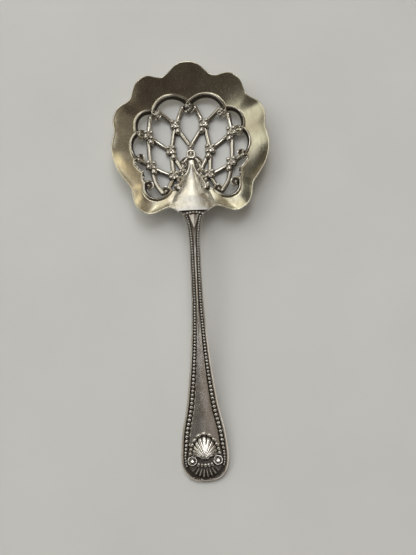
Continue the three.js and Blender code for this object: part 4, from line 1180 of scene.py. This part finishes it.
def shellShape():
    turn = np.radians(np.linspace(-shell["span"], shell["span"], shell["around"]))
    across = np.linspace(0, 1, shell["around"])
    rib = 1 - (1 - np.abs(np.sin(math.pi * shell["ribs"] * across))) ** shell["ribPower"]
    edge = ovalReach(turn, shell) * (1 - shell["notch"] * (1 - rib))
    share = np.linspace(shell["hub"], 1, shell["rows"])[:, None]
    dome = shell["rim"] + shell["dome"] * (1 - share ** shell["domePower"])
    valley = smooth(share, *shell["valleyFrom"])
    hollow = shell["hollowDepth"] * hump(share, *shell["hollow"])  # before the lobes
    fall = 1 - shell["fall"] * smooth(share, shell["fallFrom"], 1.0)
    low = 1 - shell["sideFall"] * smooth(np.abs(turn), math.radians(shell["sideFrom"]), math.radians(shell["span"]))
    high = (dome - shell["valley"] * valley * (1 - rib) - hollow * rib) * fall * low
    radius = share * edge
    top = np.stack([radius * np.sin(turn), radius * np.cos(turn), high], -1)
    base = top[-1].copy()
    base[:, 2] = -shell["skirt"]
    grid = np.concatenate([top, base[None]])
    rows, count = grid.shape[:2]
    first = rows * count
    root = np.array([[0, shell["rootAt"], z] for z in (high[0].mean(), -shell["skirt"])])
    points = np.vstack([grid.reshape(-1, 3), root])
    faces = gridFaces(rows, count, False)
    # close the two straight sides, the root and the underside
    faces += [[k + 1, k, first] for k in range(count - 1)]
    faces.append([first] + [r * count for r in range(rows)] + [first + 1])
    faces.append([first + 1] + [r * count + count - 1 for r in range(rows)][::-1] + [first])
    faces.append([first + 1] + [(rows - 1) * count + k for k in range(count)])
    recess = np.maximum(valley * (1 - rib) ** shell["darkPower"], shell["dark"] * smooth(share, *shell["darkFrom"]))
    return points, faces, np.concatenate([recess.ravel(), np.ones(count), [0, 1]])


def shellStuds():
    # a lobe at the end of every rib, and three knobs at the root
    pitch = 2 * math.radians(shell["span"]) / shell["ribs"]
    up = np.array([0, 0, 1.0])
    studs = []
    for k in range(shell["ribs"]):
        turn = math.radians(-shell["span"]) + (k + 0.5) * pitch
        edge = ovalReach(turn, shell)
        outward = np.array([math.sin(turn), math.cos(turn), 0])
        tangent = np.array([math.cos(turn), -math.sin(turn), 0])
        wide, deep, tall = shell["lobe"]
        centre = shell["lobeAt"] * edge * outward + shell["lobeLift"] * up
        studs.append(stud(centre, (tangent, outward, up), (wide * pitch * edge, deep, tall), *shell["studMesh"]))
    for x, v, lift, radius in shell["knobs"]:
        studs.append(stud(np.array([x, v, lift]), np.eye(3), (radius, radius, radius), *shell["studMesh"]))
    return joinParts(studs)


points, faces, deep = shellShape()
studPoints, studFaces = shellStuds()
# oxide and painted shade towards the feet of the rib lobes and the root knobs
deep = np.concatenate([deep, 1 - smooth(studPoints[:, 2], *shell["studDark"])])
addShellPiece("scallopShell", *joinParts([(points, faces), (studPoints, studFaces)]), deep, "shell")

fan = {
    "height": 5.3, "width": 10.6, "ribs": 7, "span": 47, "ribPower": 2.2, "notch": 0.1, "start": 3.0, "skirt": 0.5,
    "lift": (0.25, 0.7), "liftFrom": (0.1, 0.85), "valley": 0.15, "fall": 0.8, "fallFrom": 0.93,
    "tip": (0.86, 0.09), "tipRise": 0.28, "dark": (1, 0.48), "glint": (0.84, 0.08), "glintShare": 0.9,
    "rows": 26, "around": 200,
}


def fanShape():
    turn = np.radians(180 + np.linspace(-fan["span"], fan["span"], fan["around"]))
    across = np.linspace(0, 1, fan["around"])
    rib = np.abs(np.cos(math.pi * fan["ribs"] * across)) ** fan["ribPower"]
    edge = ovalReach(turn, fan) * (1 - fan["notch"] * (1 - rib))
    share = np.linspace(0, 1, fan["rows"])[:, None]
    radius = fan["start"] + share * (edge - fan["start"])
    high = between(fan["lift"], smooth(share, *fan["liftFrom"])) * between((fan["valley"], 1), rib)
    high = high * (1 - fan["fall"] * smooth(share, fan["fallFrom"], 1))
    high = high + fan["tipRise"] * hump(share, *fan["tip"]) * rib ** 2
    top = np.stack([radius * np.sin(turn), radius * np.cos(turn), high], -1)
    inner, outer = top[0].copy(), top[-1].copy()
    inner[:, 2] = outer[:, 2] = -fan["skirt"]
    grid = np.concatenate([inner[None], top, outer[None]])
    rows, count = grid.shape[:2]
    faces = gridFaces(rows, count, False)
    # close the two ends and the underside
    last = (rows - 1) * count
    faces.append([r * count for r in range(rows)])
    faces.append([r * count + count - 1 for r in range(rows)][::-1])
    faces += [[k + 1, k, last + k, last + k + 1] for k in range(count - 1)]
    # oxide and painted shade, full in the valleys and about half on the ribs, with a painted glint near each rib's
    # tip
    recess = between(fan["dark"], rib) * (1 - fan["glintShare"] * hump(share, *fan["glint"]) * rib)
    return grid.reshape(-1, 3), faces, np.concatenate([np.ones(count), recess.ravel(), np.ones(count)])


addShellPiece("fanPalmette", *fanShape(), "fan")

boss = {
    "spread": 3.66, "below": 0.615, "tilt": 0.18, "sides": 48,
    "profile": (  # radius, height and depth of patina, from the eye to the outer ring
        (0.02, 1.06, 0), (0.4, 1.05, 0), (0.49, 0.97, 0), (0.54, 0.75, 0.4), (0.58, 0.42, 1), (0.71, 0.36, 1),
        (0.76, 0.44, 1), (0.81, 0.54, 0.5), (0.87, 0.54, 0.5), (0.92, 0.4, 1), (1.02, 0.36, 1), (1.06, 0.58, 0.7),
        (1.11, 0.74, 0.4), (1.15, 0.78, 0.3), (1.22, 0.78, 0.3), (1.29, 0.69, 0.4), (1.37, 0.4, 1),
        (1.37, -0.5, 1)),
}


def bossShape(side):
    turns = roundTurns(boss["sides"])
    rings = []
    for radius, high, deep in boss["profile"]:
        x, v = radius * np.cos(turns), radius * np.sin(turns)
        rings.append(np.stack([side * boss["spread"] + x, -boss["below"] + v, high - boss["tilt"] * v], -1))
    points, faces = loft(np.array(rings))
    deepAt = [deep for radius, high, deep in boss["profile"]]
    return points, faces, np.concatenate([np.repeat(deepAt, len(turns)), [0, 1]])


for side, word in sides:
    addShellPiece(f"boss_{word}", *bossShape(side), f"boss_{word}")

rootRow = {
    "count": 5, "at": 1.95, "bow": 0.25, "width": 3.9, "lift": 0.15, "bead": 0.46, "length": 0.72, "splay": 0.35,
    "flatness": 1.2,
}
spread = np.linspace(-1, 1, rootRow["count"])
one = np.ones(rootRow["count"])
rootPoints = [spread * rootRow["width"] / 2, -rootRow["at"] + rootRow["bow"] * spread ** 2, rootRow["lift"] * one]
rootTurns = [(math.radians(terminal["slope"]), 0, rootRow["splay"] * s) for s in spread]
beads("fanBeadRow", onTerminal(np.column_stack(rootPoints)), rootRow["bead"] * one, rootRow["length"] * one,
      rootTurns, "fan_bead_row", rootRow["flatness"])
print("shell, bosses and fan made")


# Floor, light and camera

stage = {
    "floorSize": 4.0, "drop": 0.00002, "colour": (0.56, 0.56, 0.54), "cloud": (0.93, 1.07),
    "scale": 26, "detail": 5, "rough": 0.6,
}
reach = stage["floorSize"] / 2
corners = [(-reach, -reach, 0), (reach, -reach, 0), (reach, reach, 0), (-reach, reach, 0)]
floorMesh = bpy.data.meshes.new("floor")
floorMesh.from_pydata(corners, [], [(0, 1, 2, 3)])
floor = addObject("floor", floorMesh)
floor.location.z = -stage["drop"]
paper = bpy.data.materials.new("paleFloor")
paper.use_nodes = True
paperTree = paper.node_tree
paperShader = paperTree.nodes["Principled BSDF"]
paperShader.inputs["Roughness"].default_value = stage["rough"]
paperPlace = addNode(paperTree, "ShaderNodeTexCoord").outputs["Object"]
paperNoise = addNode(paperTree, "ShaderNodeTexNoise", {
    "Vector": paperPlace, "Scale": stage["scale"], "Detail": stage["detail"]})
dark, pale = ([level * c for c in stage["colour"]] for level in stage["cloud"])
paperColour = mixOver(paperTree, (*dark, 1), pale, paperNoise.outputs["Fac"])
paperTree.links.new(paperColour, paperShader.inputs["Base Color"])
floorMesh.materials.append(paper)

# light of the room by direction, each patch laid over the ones before it
room = {"base": (0.06, 0.05, 0.041), "patches": (
    ((0.16, 0.138, 0.11), (("X", 0.2, 0.6),)),
    ((0.85, 0.84, 0.72), (("X", -0.15, -0.6),)),
    ((0.45, 0.44, 0.37), (("X", -0.3, -0.6), ("Z", 0.42, 0.2))),
    ((0.06, 0.05, 0.041), (("Y", -0.11, -0.23),)),
    ((0.32, 0.31, 0.29), (("Z", 0.12, 0.0),)),
    ((0.95, 0.93, 0.89), (("Y", 0.4, 0.68),)),
    ((0.13, 0.107, 0.08), (("Y", 0.4, 0.68), ("X", 0.04, 0.3))),
    ((1.05, 1.0, 0.82), (("Y", 0.4, 0.68), ("Z", 0.36, 0.22))),
    ((0.05, 0.048, 0.039), (("X", -0.38, -0.5), ("Y", 0.4, 0.55), ("Z", 0.52, 0.36))),
    ((0.22, 0.178, 0.126), (("X", 0.04, 0.22), ("Y", 0.4, 0.6), ("Z", 0.36, 0.24))),
    ((0.45, 0.39, 0.3), (("X", 0.38, 0.52), ("Y", 0.4, 0.6), ("Z", 0.36, 0.22))),
    ((1.1, 0.95, 0.66), (("X", 0.55, 0.68), ("Y", 0.46, 0.58), ("Z", 0.42, 0.34))),
    ((0.17, 0.145, 0.112), (("X", 0.75, 0.84), ("Z", 0.06, 0.12))),
    ((1.1, 1.05, 0.92), (("X", 0.35, 0.6), ("Y", -0.7, -0.4), ("Z", 0.14, 0.05))),
    ((1.1, 1.06, 0.98), (("X", 0.84, 0.92), ("Y", 0.38, 0.26), ("Z", 0.32, 0.22))),
    ((0.95, 0.92, 0.85), (("Y", -0.25, -0.5), ("Z", 0.2, 0.1))),
    ((0.07, 0.068, 0.062), (("Z", 0.8, 0.96), ("Y", -0.38, -0.22))),
    ((0.24, 0.206, 0.175), (("Z", 0.8, 0.96), ("Y", -0.38, -0.22), ("X", -0.12, 0.16))),
)}


def makeRoom():
    world = bpy.data.worlds.new("studio")
    bpy.context.scene.world = world
    world.use_nodes = True
    tree = world.node_tree
    place = addNode(tree, "ShaderNodeTexCoord").outputs["Generated"]
    split = addNode(tree, "ShaderNodeSeparateXYZ", {"Vector": place})
    tone = (*room["base"], 1)
    for colour, ramps in room["patches"]:
        share, *others = (ranged(tree, split.outputs[axis], span, interpolation_type="SMOOTHSTEP")
                          for axis, *span in ramps)
        for other in others:
            share = mathOf(tree, "MULTIPLY", share, other)
        tone = mixOver(tree, tone, colour, share)
    back = tree.nodes["Background"]
    tree.links.new(tone, back.inputs["Color"])
    back.inputs["Strength"].default_value = 1


makeRoom()

lamps = {
    "keyBox": {"at": (-0.4, 0.2, 1.25), "size": (1.6, 1.6), "watts": 11.9, "inMetal": False},
    "farBox": {"at": (-0.07, 1.2, 0.18), "size": (0.17, 0.15), "watts": 0.08, "inMetal": True},
    "skyBox": {"at": (0.12, 0.52, 1.2), "size": (0.4, 0.5), "watts": 1.5, "inMetal": True},
    "endBox": {"at": (0.02, 0.2, 1.25), "size": (0.34, 0.26), "watts": 1.35, "inMetal": True},
}
aimAt = Vector((0, 0.02, 0))
for name, lamp in lamps.items():
    light = bpy.data.lights.new(name, "AREA")
    light.shape = "RECTANGLE"
    light.size, light.size_y = lamp["size"]
    light.energy = lamp["watts"]
    holder = addObject(name, light)
    holder.location = lamp["at"]
    holder.visible_glossy = lamp["inMetal"]
    holder.rotation_euler = (aimAt - Vector(lamp["at"])).to_track_quat("-Z", "Y").to_euler()

view = {"at": (3.389, -96.855, 285.206), "elevation": 72, "roll": 2.9, "lens": 64.3, "sensor": 36, "clip": 0.01}
camera = bpy.data.cameras.new("camera")
camera.lens = view["lens"]
camera.sensor_width = view["sensor"]
camera.clip_start = view["clip"]
holder = addObject("camera", camera)
up, roll = math.radians(view["elevation"]), math.radians(view["roll"])
backward = Vector((0, -math.cos(up), math.sin(up)))
level, rise = Vector((1, 0, 0)), Vector((0, math.sin(up), math.cos(up)))
right = math.cos(roll) * level - math.sin(roll) * rise
upward = math.sin(roll) * level + math.cos(roll) * rise
turn = Matrix((right, upward, backward)).transposed().to_4x4()
holder.matrix_world = Matrix.Translation(Vector(view["at"]) * mm) @ turn
bpy.context.scene.camera = holder
bpy.context.scene.view_settings.view_transform = "Standard"
print("stage set")
